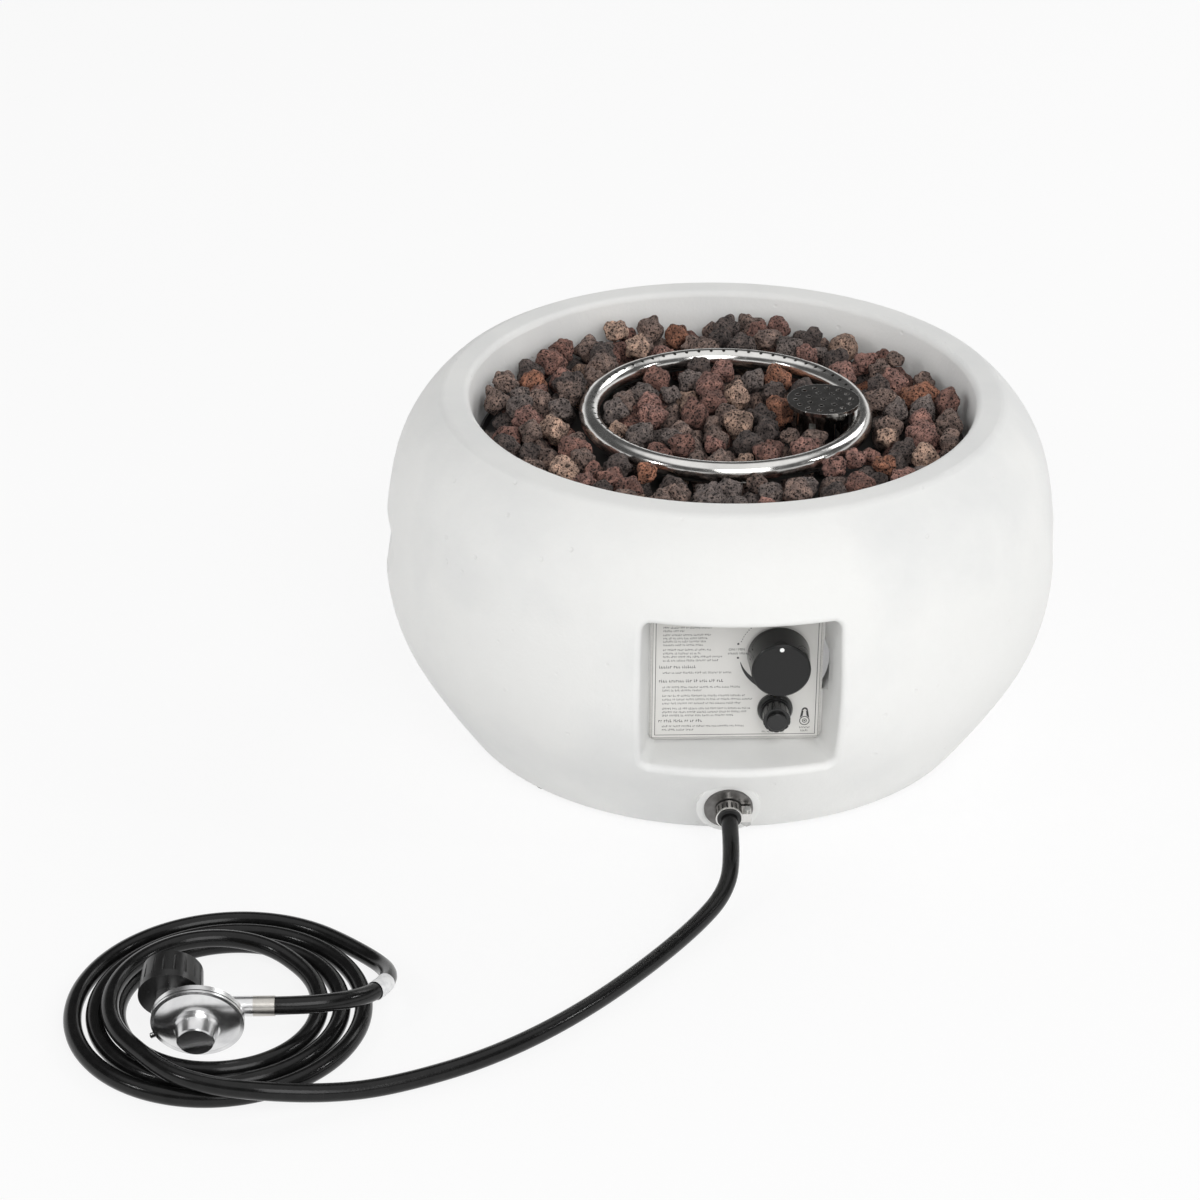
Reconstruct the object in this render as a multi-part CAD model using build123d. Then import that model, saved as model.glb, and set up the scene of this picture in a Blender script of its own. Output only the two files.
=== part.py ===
from build123d import *
import math
import os
import random

import numpy as np

# Millimetres. The ground is z = 0, the bowl's axis is Z and the controls face -Y.

# Bowl casting: heights above the ground, and how far each level lies inside the widest radius
bowl_radius = 254.0
bowl_height = 261.0
equator_height = 130.0
shoulder_height = 200.0
shoulder_inset = 7.4
rim_inset = 44.5
waist_height = 60.0
waist_inset = 17.9
base_inset = 53.6
wall = 20.0
rim_width = 20.5
rim_outer_round = 9.0
rim_inner_round = 5.0
fire_wall_lean = 5.0
pan_depth = 50.0
ledge_width = 28.0
ledge_thickness = 19.0
base_width = 24.0

# Rubber feet let into the underside
foot_count = 4
foot_radius = 9.0
foot_height = 6.0
foot_lift = 3.0

# Hand grips scooped out of both flanks, deepest under their upper edge
grip_height = 143.0
grip_length = 128.0
grip_width = 50.0
grip_depth = 6.0
grip_tilt = 12.0

# Control recess in the front of the casting
recess_depth = 54.0
recess_floor = 77.0
recess_ceiling = 192.0
recess_corner = 7.0
recess_mouth_round = 4.0
recess_side_draft = 11.0
recess_floor_draft = 3.5
recess_wall = 11.0

# Control panel
panel_width = 122.0
panel_thickness = 1.5
panel_margin = 1.0
panel_corner = 4.0
label_thickness = 0.3
label_border = 1.2
label_screw_clearance = 0.5
stud_radius = 2.0
stud_inset = 7.0
stud_nut_radius = 4.0
stud_nut_height = 3.5
stud_spare = 2.0

# Gas valve behind the panel, on the knob's axis
valve_x = 29.0
valve_z = 149.0
valve_length = 62.0
valve_width = 40.0
valve_height = 36.0
valve_corner = 4.0
valve_notch_radius = 42.0
valve_notch_shift = -4.0
valve_notch_drop = 11.0
valve_notch_reach = 12.0
valve_screw_spacing = 28.0
valve_screw_radius = 2.0
valve_screw_head = 3.4
valve_screw_head_height = 2.0
valve_screw_depth = 12.0
stem_radius = 4.0
stem_flat = 1.2
stem_clip_overhang = 1.5
stem_clip_thickness = 1.0
stem_hole_clearance = 1.0
stem_bore_depth = 30.0
stem_reach_inside = 18.0
seat_radius = 9.0
seat_thickness = 2.0
seat_pocket_margin = 3.0
seat_inset = 3.0
push_travel = 4.0
running_clearance = 0.05

# Control knob
knob_radius = 22.2
knob_length = 23.3
knob_gap = 5.0
knob_taper = 1.4
knob_wall = 2.6
knob_edge = 1.4
knob_hub_radius = 8.0
knob_socket_depth = 14.0
dot_radius = 1.6
dot_depth = 0.8
dot_offset = 17.0

# Battery igniter under the knob
igniter_x = 28.2
igniter_z = 103.0
igniter_barrel_radius = 10.0
igniter_barrel_length = 72.0
igniter_flange_radius = 13.0
igniter_flange_thickness = 3.0
igniter_nut_radius = 12.6
igniter_nut_height = 5.0
igniter_slot_margin = 3.0
cap_radius = 9.75
cap_length = 12.5
cap_plug_radius = 8.0
cap_plug_length = 4.0
cap_flutes = 14
cap_flute_radius = 0.9
cap_flute_stop = 2.0
button_radius = 7.0
button_length = 9.0
button_proud = 3.2
button_travel = 2.5
button_edge = 1.0
button_spare = 0.5
battery_radius = 5.25
battery_length = 44.5
battery_nub_radius = 1.9
battery_nub_length = 0.8
battery_clearance = 0.3
contact_thickness = 1.0
terminal_width = 4.8
terminal_thickness = 0.8
terminal_length = 9.0

# Burner pan on the casting's ledge
pan_thickness = 1.5
pan_clearance = 1.0
pan_flange_height = 8.0
pan_screw_count = 4
pan_screw_radius = 2.0
pan_screw_head = 3.6
pan_screw_length = 14.0
drain_count = 10
drain_radius = 4.0
drain_circle = 140.0

# Ring burner
burner_x = 3.0
ring_radius = 102.0
ring_tube_radius = 8.0
ring_tube_wall = 1.2
ring_seam_gap = 0.2
ring_seam_port = 21
ring_drop = 20.0
port_count = 64
port_radius = 1.25
port_lean = 20.0
stub_radius = 7.0
stub_bore = 5.5
stub_below_pan = 20.0
bracket_count = 3
bracket_width = 15.0
bracket_thickness = 2.0
bracket_foot = 12.0
bracket_cradle = 2.0
bracket_first_angle = 30.0

# Air mixer, gas jet and supply tube under the pan
mixer_radius = 11.0
mixer_length = 46.0
mixer_overlap = 9.0
mixer_floor = 4.0
mixer_window_width = 8.0
mixer_window_height = 16.0
jet_radius = 4.0
jet_reach = 9.0
jet_hex = 7.0
jet_hex_height = 9.0
jet_bore = 0.9
tube_radius = 4.0
tube_nut_radius = 8.0
tube_nut_length = 12.0
tube_run_back = 56.0
tube_rise = 54.5
tube_bend = 24.0

# Igniter hood inside the ring
hood_x = 75.0
hood_y = -9.0
hood_radius = 27.0
hood_drop = 5.0
hood_plate = 1.6
hood_tube_radius = 19.5
hood_tube_wall = 1.2
hood_slot_count = 6
hood_slot_width = 6.0
hood_slot_height = 22.0
hood_flange_radius = 23.0
hood_flange = 1.2
hood_outer_holes = 14
hood_outer_circle = 20.5
hood_inner_holes = 7
hood_inner_circle = 11.5
hood_hole_radius = 1.8
bracket_plate_radius = 16.0
bracket_plate_thickness = 1.5
sensor_spacing = 14.0
sensor_collar_overhang = 1.2
sensor_collar_height = 2.0
electrode_ceramic_radius = 3.2
electrode_ceramic_below = 22.0
electrode_ceramic_above = 24.0
electrode_rod_radius = 0.9
electrode_rod_length = 10.0
thermocouple_radius = 2.4
thermocouple_below = 18.0
thermocouple_above = 30.0
thermocouple_nut_radius = 4.5
thermocouple_nut_height = 5.0
pan_sensor_hole = 13.0
wire_radius = 1.4
capillary_radius = 1.1
wire_bend = 14.0
lead_drop = 53.0

# Lava rock bed
rock_seed = 11
rock_size = 13.6
rock_chip_size = 10.0
rock_size_spread = 0.2
rock_spacing = 0.92
rock_nesting = 0.82
rock_darts = 2600
rock_headroom = 6.0
rock_gap = 0.05
rock_facets = 11
rock_reach = 1.4
rock_least_side = 2.0

# Hose exit through the front of the casting
gland_x = -5.0
gland_height = 36.5
gland_droop = 12.0
gland_inset = 26.5
gland_boss_radius = 23.0
gland_boss_length = 32.0
flange_radius = 17.5
flange_thickness = 2.0
bush_radius = 8.6
bush_proud = 10.5
clamp_width = 8.5
clamp_thickness = 1.1
clamp_stand_off = 1.0
clamp_slots = 18
clamp_slot_width = 1.3
clamp_slot_margin = 1.5
clamp_housing = 8.0
clamp_housing_height = 6.0
clamp_housing_sink = 2.0
clamp_screw_radius = 2.4
clamp_screw_head = 3.6
clamp_screw_length = 15.0
clamp_screw_proud = 5.0
clamp_screw_head_height = 4.0
clamp_screw_slot_depth = 1.0
clamp_screw_slot_width = 0.9
fit_clearance = 0.05

# Hose and its inlet fittings inside the casting
hose_radius = 6.0
inlet_setback = 14.0
elbow_radius = 7.0
elbow_drop = 19.0
elbow_ball_overhang = 1.0
inlet_nut_radius = 10.0
inlet_nut_length = 14.0
inner_ferrule_radius = 7.4
inner_ferrule_length = 17.0
inner_bend = 48.0

# Hose coil lying on the ground beside the bowl
coil_x = -350.0
coil_y = -420.0
coil_outer_radius = 105.5
coil_step = 14.6
coil_start_angle = 45.0
coil_inward_turns = 3.0
coil_outward_turns = 0.5
coil_outward_step = 32.0
coil_layer_gap = 0.5

# Regulator at the hose's far end, leaning forward inside the coil with its rim on the ground
reg_x = -362.0
reg_y = -466.0
reg_tilt = 12.0
reg_radius = 30.0
reg_rim = 3.6
reg_flange = 1.6
reg_flange_step = 2.4
reg_gasket = 0.8
reg_front_depth = 5.0
reg_front_radius = 16.5
reg_dome = 0.8
reg_rear_depth = 12.0
reg_rear_radius = 15.0
reg_block_depth = 4.0
cap_base_radius = 15.0
cap_base_lip = 1.5
cap_neck_radius = 13.8
cap_tip_radius = 12.2
cap_edge = 0.8
cap_height = 12.5
vent_radius = 2.0
vent_length = 5.0
vent_angle = 207.0
outlet_setback = 12.0
outlet_boss_radius = 6.6
outlet_boss_reach = 5.0
ferrule_radius = 6.6
ferrule_length = 14.0
sleeve_thickness = 0.4
inlet_offset_x = -19.0
inlet_offset_z = 1.0
inlet_boss_radius = 10.0
inlet_boss_proud = 4.0
nipple_radius = 7.0
nipple_bore = 2.5
nipple_play = 0.3
nipple_collar_overhang = 4.0
nipple_collar_length = 3.0
nipple_nose_taper = 2.0
nipple_nose_setback = 1.0
nut_radius = 21.0
nut_taper = 1.2
nut_length = 22.0
nut_gap = 0.2
nut_thread_radius = 16.4
nut_thread_length = 12.0
nut_relief = 0.4
nut_wall_thickness = 5.0
nut_ribs = 18
nut_rib_depth = 1.0
nut_ring_length = 5.0

# Places that follow from the sizes above
rim_radius = bowl_radius - rim_inset
mouth_radius = rim_radius - rim_width
pan_floor = bowl_height - pan_depth
pan_seat = pan_floor - pan_thickness
seat_outer = mouth_radius - fire_wall_lean
ledge_inner = seat_outer - ledge_width
ledge_under = pan_seat - ledge_thickness
pan_radius = seat_outer - pan_clearance
ring_height = bowl_height - ring_drop
recess_back = -(bowl_radius - recess_depth)
panel_front = recess_back - panel_thickness
label_front = panel_front - label_thickness
panel_bottom = recess_floor + panel_margin
panel_top = recess_ceiling - panel_margin
valve_rear = recess_back + valve_length
knob_rear = label_front - knob_gap
knob_face = knob_rear - knob_length
igniter_front = label_front - igniter_nut_height
igniter_rear = igniter_front + igniter_barrel_length
gland_y = -(bowl_radius - gland_inset)
gland_axis = Vector(0, -math.cos(math.radians(gland_droop)), -math.sin(math.radians(gland_droop)))
gland_point = Vector(gland_x, gland_y, gland_height)
hose_exit = gland_point + gland_axis * (flange_thickness + bush_proud)
inlet_y = valve_rear - inlet_setback
seat_pocket_depth = seat_inset + seat_thickness + push_travel + seat_pocket_margin
mixer_top = pan_seat - stub_below_pan + mixer_overlap
mixer_bottom = mixer_top - mixer_length
hood_top = bowl_height - hood_drop
hood_base = pan_floor + hood_flange


def export(name, shape):
    """Writes one named piece, or one group of like pieces, in its own file."""
    os.makedirs("parts", exist_ok=True)
    if isinstance(shape, (list, tuple)):
        shape = Compound(children=[piece for solid in shape for piece in solid.solids()])
    shape.label = name
    export_step(shape, f"parts/{name}.step")


def y_rod(radius, x, z, y_start, y_end):
    """A round bar along Y between two depths."""
    middle = (y_start + y_end) / 2
    return Pos(x, middle, z) * Rot(90, 0, 0) * Cylinder(radius, abs(y_end - y_start))


def z_rod(radius, x, y, z_start, z_end):
    """A round bar along Z between two heights."""
    return Pos(x, y, (z_start + z_end) / 2) * Cylinder(radius, abs(z_end - z_start))


def x_rod(radius, y, z, x_start, x_end):
    """A round bar along X between two sides."""
    return Pos((x_start + x_end) / 2, y, z) * Rot(0, 90, 0) * Cylinder(radius, abs(x_end - x_start))


def hexagon_bar(radius, length):
    """A hexagonal nut blank that starts at z = 0 and grows along +Z."""
    return extrude(RegularPolygon(radius, 6), amount=length)


def turned_y(points, x, z):
    """A piece turned about an axis along Y, from (radius, y) points of its half section."""
    outline = Polyline(*[(x + radius, y, z) for radius, y in points], close=True)
    return revolve(Face(Wire(outline)), Axis((x, 0, z), (0, 1, 0)))


def tube_along(path, radius):
    """A round solid swept along a path, square to its start."""
    section = Plane(path @ 0, z_dir=path % 0) * Circle(radius)
    return sweep(section, path=path)


def outer_edges():
    """The bowl's outer outline in the XZ plane, from the underside up to the rim."""
    equator = Vector(bowl_radius, 0, equator_height)
    shoulder = Vector(bowl_radius - shoulder_inset, 0, shoulder_height)
    rim = Vector(rim_radius, 0, bowl_height)
    waist = Vector(bowl_radius - waist_inset, 0, waist_height)
    base = Vector(bowl_radius - base_inset, 0, foot_lift)
    belly = TangentArc(equator, waist, tangent=(0, 0, -1))
    foot = TangentArc(waist, base, tangent=belly % 1)
    flank = TangentArc(equator, shoulder, tangent=(0, 0, 1))
    crown = TangentArc(shoulder, rim, tangent=flank % 1)
    return [foot, belly, flank, crown]


def bowl_shell():
    """Cast shell: turned outline, fire bowl with a ledge, control recess, grips and hose boss."""
    edges = outer_edges()
    base = Vector(bowl_radius - base_inset, 0, foot_lift)
    rim = Vector(rim_radius, 0, bowl_height)
    hollow_top = Vector(bowl_radius - shoulder_inset - wall - ledge_width / 2, 0, ledge_under)
    hollow_side = Vector(bowl_radius - wall, 0, (equator_height + ledge_under) / 2)
    hollow_waist = Vector(bowl_radius - waist_inset - wall, 0, waist_height)
    hollow_arc = TangentArc(hollow_side, hollow_waist, tangent=(0, 0, -1))
    inner = Polyline(
        rim,
        (mouth_radius, 0, bowl_height),
        (seat_outer, 0, pan_seat),
        (ledge_inner, 0, pan_seat),
        (ledge_inner, 0, ledge_under),
        hollow_top,
        hollow_side,
    )
    underside = Polyline(hollow_waist, (base.X - base_width, 0, foot_lift), base)
    section = Face(Wire(edges + inner.edges() + [hollow_arc] + underside.edges()))
    corners = section.vertices()
    section = section.fillet_2d(rim_outer_round, [corners.sort_by_distance(rim)[0]])
    mouth = Vector(mouth_radius, 0, bowl_height)
    section = section.fillet_2d(rim_inner_round, [section.vertices().sort_by_distance(mouth)[0]])
    shell = revolve(section, Axis.Z)

    solid_section = Face(Wire(edges + Polyline(rim, (0, 0, bowl_height), (0, 0, foot_lift), base).edges()))
    envelope = revolve(solid_section, Axis.Z)

    block_width = panel_width + 2 * (panel_margin + recess_wall) + 2 * recess_depth * math.tan(
        math.radians(recess_side_draft))
    block_height = recess_ceiling - recess_floor + 2 * recess_wall
    block_middle = (recess_ceiling + recess_floor) / 2
    block_inner = recess_back + recess_wall
    block_outer = -bowl_radius
    block = Pos(0, (block_inner + block_outer) / 2, block_middle) * Box(
        block_width, block_inner - block_outer, block_height)
    shell = shell + (block & envelope)

    front = -(bowl_radius + 2)
    spread = recess_back - front
    back_half = panel_width / 2 + panel_margin
    front_half = back_half + spread * math.tan(math.radians(recess_side_draft))
    front_floor = recess_floor - spread * math.tan(math.radians(recess_floor_draft))
    sections = []
    for y, half, floor in ((recess_back, back_half, recess_floor), (front, front_half, front_floor)):
        plane = Plane(origin=(0, y, (floor + recess_ceiling) / 2), x_dir=(1, 0, 0), z_dir=(0, -1, 0))
        sections.append(plane * RectangleRounded(2 * half, recess_ceiling - floor, recess_corner))
    recess = loft(sections, ruled=True)
    opened = shell - recess
    shell = fillet(new_edges(shell, recess, combined=opened), recess_mouth_round)
    notch_front = recess_back - valve_notch_reach
    notch_x = valve_x + valve_notch_shift
    notch_z = valve_z - valve_notch_drop
    shell = shell - y_rod(valve_notch_radius, notch_x, notch_z, notch_front, block_inner)
    slot_half = igniter_flange_radius + igniter_slot_margin
    slot_height = valve_z - igniter_z
    slot_middle = (igniter_z + valve_z) / 2
    slot = Pos(igniter_x, recess_back + recess_wall / 2, slot_middle) * Box(
        2 * slot_half, recess_wall, slot_height)
    shell = shell - slot - y_rod(slot_half, igniter_x, igniter_z, recess_back, block_inner)
    for x, z in stud_places():
        shell = shell - y_rod(stud_radius + fit_clearance, x, z, recess_back, block_inner)

    for side in (-1, 1):
        lean = math.radians(grip_tilt)
        plane = Plane(
            origin=(side * (bowl_radius - grip_depth), 0, grip_height),
            x_dir=(0, 1, 0),
            z_dir=(side * math.cos(lean), 0, math.sin(lean)),
        )
        scoop = extrude(plane * SlotOverall(grip_length, grip_width), amount=wall + grip_depth)
        shell = shell - scoop

    pad = Plane(origin=gland_point, x_dir=(1, 0, 0), z_dir=gland_axis)
    boss = extrude(pad * Circle(gland_boss_radius), amount=-gland_boss_length)
    facing = extrude(pad * Circle(gland_boss_radius), amount=gland_boss_radius)
    hose_hole = extrude(pad * Circle(bush_radius + fit_clearance), amount=-2 * gland_boss_length)
    shell = shell + boss - facing - hose_hole

    for x, y in foot_places():
        shell = shell - z_rod(foot_radius + fit_clearance, x, y, foot_lift, foot_height)
    for x, y in pan_screw_places():
        shell = shell - z_rod(pan_screw_radius + fit_clearance, x, y, pan_seat - pan_screw_length, pan_seat)
    return shell


def ring_of_places(count, radius, first_angle=0.0):
    """Evenly spaced (x, y) places on a circle about the bowl's axis."""
    places = []
    for index in range(count):
        angle = math.radians(first_angle + 360 * index / count)
        places.append((radius * math.cos(angle), radius * math.sin(angle)))
    return places


def foot_places():
    """The feet stand in the middle of the casting's base ring, clear of the front."""
    return ring_of_places(foot_count, bowl_radius - base_inset - base_width / 2, 180 / foot_count)


def pan_screw_places():
    """The pan's screws go down into the middle of the ledge."""
    return ring_of_places(pan_screw_count, seat_outer - ledge_width / 2, 180 / pan_screw_count)


def stud_places():
    """The panel's studs, in the corners that the valve's round clearance leaves free."""
    side = panel_width / 2 - stud_inset
    low = panel_bottom + stud_inset
    high = panel_top - stud_inset
    return [(-side, low), (side, low), (-side, high), (valve_x - valve_notch_radius, high)]


def rubber_feet():
    """Pads glued into the pockets of the base ring."""
    return [z_rod(foot_radius, x, y, 0, foot_height) for x, y in foot_places()]


def burner_pan():
    """Pressed steel pan on the ledge, with an upturned edge, drain holes and clearance holes."""
    disc = z_rod(pan_radius, 0, 0, pan_seat, pan_floor)
    edge_top = pan_floor + pan_flange_height
    edge = z_rod(pan_radius, 0, 0, pan_floor, edge_top)
    edge = edge - z_rod(pan_radius - pan_thickness, 0, 0, pan_floor, edge_top)
    pan = disc + edge
    for x, y in ring_of_places(drain_count, drain_circle, 180 / drain_count):
        pan = pan - z_rod(drain_radius, x, y, pan_seat, pan_floor)
    pan = pan - z_rod(stub_radius + fit_clearance, burner_x, ring_radius, pan_seat, pan_floor)
    pan = pan - z_rod(pan_sensor_hole, hood_x, hood_y, pan_seat, pan_floor)
    for x, y in pan_screw_places():
        pan = pan - pan_screw_head_cone(x, y)
    return pan


def pan_screw_head_cone(x, y):
    """The countersunk head that lies flush with the pan's floor."""
    return Pos(x, y, (pan_seat + pan_floor) / 2) * Cone(pan_screw_radius, pan_screw_head, pan_thickness)


def pan_screws():
    """Countersunk screws that hold the pan to the ledge."""
    screws = []
    for x, y in pan_screw_places():
        shank = z_rod(pan_screw_radius, x, y, pan_seat - pan_screw_length, pan_seat)
        screws.append(shank + pan_screw_head_cone(x, y))
    return screws


def bent_rod(radius, set_back):
    """A round bar bent to the ring, whose two ends stand back from the seam."""
    turn = math.degrees(set_back / ring_radius)
    section = Plane.XZ * (Pos(ring_radius, 0) * Circle(radius))
    bar = revolve(section, Axis.Z, 360 - 2 * turn)
    seam = 360 / port_count * ring_seam_port
    return Pos(burner_x, 0, ring_height) * Rot(0, 0, seam + turn) * bar


def burner_ring():
    """Stainless tube bent to a ring, its closed ends welded at a seam, with gas ports and a supply stub."""
    stub_end = pan_seat - stub_below_pan
    stub_top = ring_height - ring_tube_wall
    skin = bent_rod(ring_tube_radius, ring_seam_gap / 2)
    skin = skin + z_rod(stub_radius, burner_x, ring_radius, stub_end, stub_top)
    hollow = bent_rod(ring_tube_radius - ring_tube_wall, ring_seam_gap / 2 + ring_tube_wall)
    hollow = hollow + z_rod(stub_bore, burner_x, ring_radius, stub_end, stub_top)
    ring = skin - hollow
    lean = math.radians(port_lean)
    ports = []
    for index in range(port_count):
        turn = math.radians(360 * (index + 0.5) / port_count)
        outward = Vector(math.cos(turn), math.sin(turn), 0)
        axis = outward * -math.sin(lean) + Vector(0, 0, math.cos(lean))
        start = Vector(burner_x, 0, ring_height) + outward * ring_radius
        start = start + axis * (ring_tube_radius - 2 * ring_tube_wall)
        ports.append(extrude(Plane(start, z_dir=axis) * Circle(port_radius), amount=4 * ring_tube_wall))
    return ring - ports


def burner_brackets():
    """Sheet brackets welded to the pan, each with a cradle that the ring's tube lies in."""
    brackets = []
    tube = Pos(burner_x, 0, ring_height) * Torus(ring_radius, ring_tube_radius + fit_clearance)
    top = ring_height - bracket_cradle
    for index in range(bracket_count):
        angle = bracket_first_angle + 360 * index / bracket_count
        upright = Pos(ring_radius, 0, (pan_floor + top) / 2) * Box(
            bracket_width, bracket_thickness, top - pan_floor)
        foot = Pos(ring_radius, bracket_foot / 2, pan_floor + bracket_thickness / 2) * Box(
            bracket_width, bracket_foot, bracket_thickness)
        brackets.append(Pos(burner_x, 0, 0) * Rot(0, 0, angle) * (upright + foot) - tube)
    return brackets


def air_mixer():
    """Sleeve on the ring's stub with two air windows and a threaded floor for the jet."""
    body = z_rod(mixer_radius, burner_x, ring_radius, mixer_bottom, mixer_top)
    socket_floor = mixer_bottom + mixer_floor
    body = body - z_rod(stub_radius + fit_clearance, burner_x, ring_radius, socket_floor, mixer_top)
    body = body - z_rod(jet_radius + fit_clearance, burner_x, ring_radius, mixer_bottom, mixer_top)
    window_middle = mixer_bottom + mixer_floor + mixer_window_height
    window = Pos(burner_x, ring_radius, window_middle) * Box(
        4 * mixer_radius, mixer_window_width, mixer_window_height)
    return body - window


def gas_jet():
    """Brass jet: hexagon under the mixer's floor and a drilled nose inside."""
    nose = z_rod(jet_radius, burner_x, ring_radius, mixer_bottom, mixer_bottom + mixer_floor + jet_reach)
    head = Pos(burner_x, ring_radius, mixer_bottom - jet_hex_height) * hexagon_bar(jet_hex, jet_hex_height)
    drill_end = mixer_bottom + 2 * jet_reach
    drill = z_rod(jet_bore, burner_x, ring_radius, mixer_bottom - jet_hex_height, drill_end)
    return nose + head - drill


def supply_path():
    """The supply tube's way from the valve's back to the jet."""
    low = mixer_bottom - jet_hex_height - tube_rise
    middle = (valve_rear + tube_run_back + ring_radius) / 2
    return FilletPolyline(
        (valve_x, valve_rear, valve_z),
        (valve_x, valve_rear + tube_run_back, valve_z),
        (burner_x, middle + tube_run_back / 2, low),
        (burner_x, ring_radius, low),
        (burner_x, ring_radius, mixer_bottom - jet_hex_height),
        radius=tube_bend,
    )


def supply_tube():
    """Bent aluminium tube from valve to jet."""
    return tube_along(supply_path(), tube_radius)


def supply_nuts():
    """Flare nuts on both ends of the supply tube."""
    valve_end = Plane((valve_x, valve_rear, valve_z), z_dir=(0, 1, 0))
    jet_end = Plane((burner_x, ring_radius, mixer_bottom - jet_hex_height), z_dir=(0, 0, -1))
    nuts = []
    for plane in (valve_end, jet_end):
        blank = RegularPolygon(tube_nut_radius, 6) - Circle(tube_radius + fit_clearance)
        nuts.append(extrude(plane * blank, amount=tube_nut_length))
    return nuts


def igniter_hood():
    """Perforated cover on a slotted tube, over the electrode and the thermocouple."""
    plate_under = hood_top - hood_plate
    tube = z_rod(hood_tube_radius, hood_x, hood_y, pan_floor, plate_under)
    tube = tube + z_rod(hood_flange_radius, hood_x, hood_y, pan_floor, hood_base)
    tube = tube - z_rod(hood_tube_radius - hood_tube_wall, hood_x, hood_y, pan_floor, plate_under)
    slot_middle = (pan_floor + plate_under) / 2
    for index in range(hood_slot_count // 2):
        slot = Rot(0, 0, 360 * index / hood_slot_count) * Box(
            4 * hood_tube_radius, hood_slot_width, hood_slot_height)
        tube = tube - Pos(hood_x, hood_y, slot_middle) * slot
    plate = Circle(hood_radius)
    plate = plate - PolarLocations(hood_outer_circle, hood_outer_holes) * Circle(hood_hole_radius)
    plate = plate - PolarLocations(hood_inner_circle, hood_inner_holes) * Circle(hood_hole_radius)
    plate = plate - Circle(hood_hole_radius)
    lip = Circle(hood_radius) - Circle(hood_radius - hood_plate)
    cover = extrude(plate, amount=hood_plate) + extrude(lip, amount=-hood_plate)
    return tube + Pos(hood_x, hood_y, plate_under) * cover


def sensor_x(side):
    """The electrode stands on one side of the hood's middle and the thermocouple on the other."""
    return hood_x + side * sensor_spacing / 2


def sensor_bracket():
    """Plate over the pan's hole that holds the electrode and the thermocouple."""
    plate_top = pan_floor + bracket_plate_thickness
    plate = z_rod(bracket_plate_radius, hood_x, hood_y, pan_floor, plate_top)
    for side, radius in ((-1, electrode_ceramic_radius), (1, thermocouple_radius)):
        plate = plate - z_rod(radius + fit_clearance, sensor_x(side), hood_y, pan_floor, plate_top)
    return plate


def electrode_ceramic():
    """Glazed ceramic sleeve with a collar that sits on the bracket."""
    plate_top = pan_floor + bracket_plate_thickness
    x = sensor_x(-1)
    sleeve = z_rod(electrode_ceramic_radius, x, hood_y, pan_floor - electrode_ceramic_below,
                   pan_floor + electrode_ceramic_above)
    collar = z_rod(electrode_ceramic_radius + sensor_collar_overhang, x, hood_y, plate_top,
                   plate_top + sensor_collar_height)
    bore = z_rod(electrode_rod_radius + fit_clearance, x, hood_y, 0, bowl_height)
    return sleeve + collar - bore


def electrode_rod():
    """Spark rod through the ceramic sleeve."""
    low = pan_floor - electrode_ceramic_below - electrode_rod_length / 2
    high = pan_floor + electrode_ceramic_above + electrode_rod_length
    return z_rod(electrode_rod_radius, sensor_x(-1), hood_y, low, high)


def thermocouple():
    """Flame sensor with a collar on top of the bracket."""
    plate_top = pan_floor + bracket_plate_thickness
    x = sensor_x(1)
    tip = pan_floor + thermocouple_above
    probe = z_rod(thermocouple_radius, x, hood_y, pan_floor - thermocouple_below, tip)
    collar_top = plate_top + sensor_collar_height
    return probe + z_rod(thermocouple_radius + sensor_collar_overhang, x, hood_y, plate_top, collar_top)


def thermocouple_nut():
    """Nut under the bracket, round the flame sensor."""
    blank = RegularPolygon(thermocouple_nut_radius, 6) - Circle(thermocouple_radius + fit_clearance)
    plane = Plane((sensor_x(1), hood_y, pan_floor), z_dir=(0, 0, -1))
    return extrude(plane * blank, amount=thermocouple_nut_height)


def capillary():
    """Thin copper line from the flame sensor to the valve's back."""
    port_x = valve_x + valve_width / 4
    port_z = valve_z + valve_height / 4
    path = FilletPolyline(
        (sensor_x(1), hood_y, pan_floor - thermocouple_below),
        (sensor_x(1), hood_y, port_z + wire_bend / 2),
        (port_x, valve_rear + 2.5 * wire_bend, port_z),
        (port_x, valve_rear, port_z),
        radius=wire_bend,
    )
    return tube_along(path, capillary_radius)


def ignition_lead():
    """Insulated lead from the igniter's terminal to the spark rod."""
    terminal_x = igniter_x + igniter_barrel_radius / 2
    terminal_end = igniter_rear + terminal_length
    rod_end = pan_floor - electrode_ceramic_below - electrode_rod_length / 2
    path = FilletPolyline(
        (sensor_x(-1), hood_y, rod_end),
        (sensor_x(-1), hood_y, rod_end - lead_drop),
        (terminal_x, terminal_end + 3 * wire_bend, igniter_z),
        (terminal_x, terminal_end, igniter_z),
        radius=wire_bend,
    )
    return tube_along(path, wire_radius)


def control_panel():
    """Steel panel on the back of the recess, with welded studs behind."""
    face = Plane(origin=(0, recess_back, (panel_top + panel_bottom) / 2), x_dir=(1, 0, 0), z_dir=(0, -1, 0))
    panel = extrude(face * RectangleRounded(panel_width, panel_top - panel_bottom, panel_corner),
                    amount=panel_thickness)
    stud_end = recess_back + recess_wall + stud_nut_height + stud_spare
    for x, z in stud_places():
        panel = panel + y_rod(stud_radius, x, z, recess_back, stud_end)
    panel = panel - y_rod(stem_radius + stem_hole_clearance, valve_x, valve_z, panel_front, recess_back)
    igniter_hole = igniter_barrel_radius + fit_clearance
    panel = panel - y_rod(igniter_hole, igniter_x, igniter_z, panel_front, recess_back)
    for x in valve_screw_places():
        panel = panel - y_rod(valve_screw_radius + fit_clearance, x, valve_z, panel_front, recess_back)
    return panel


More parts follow.
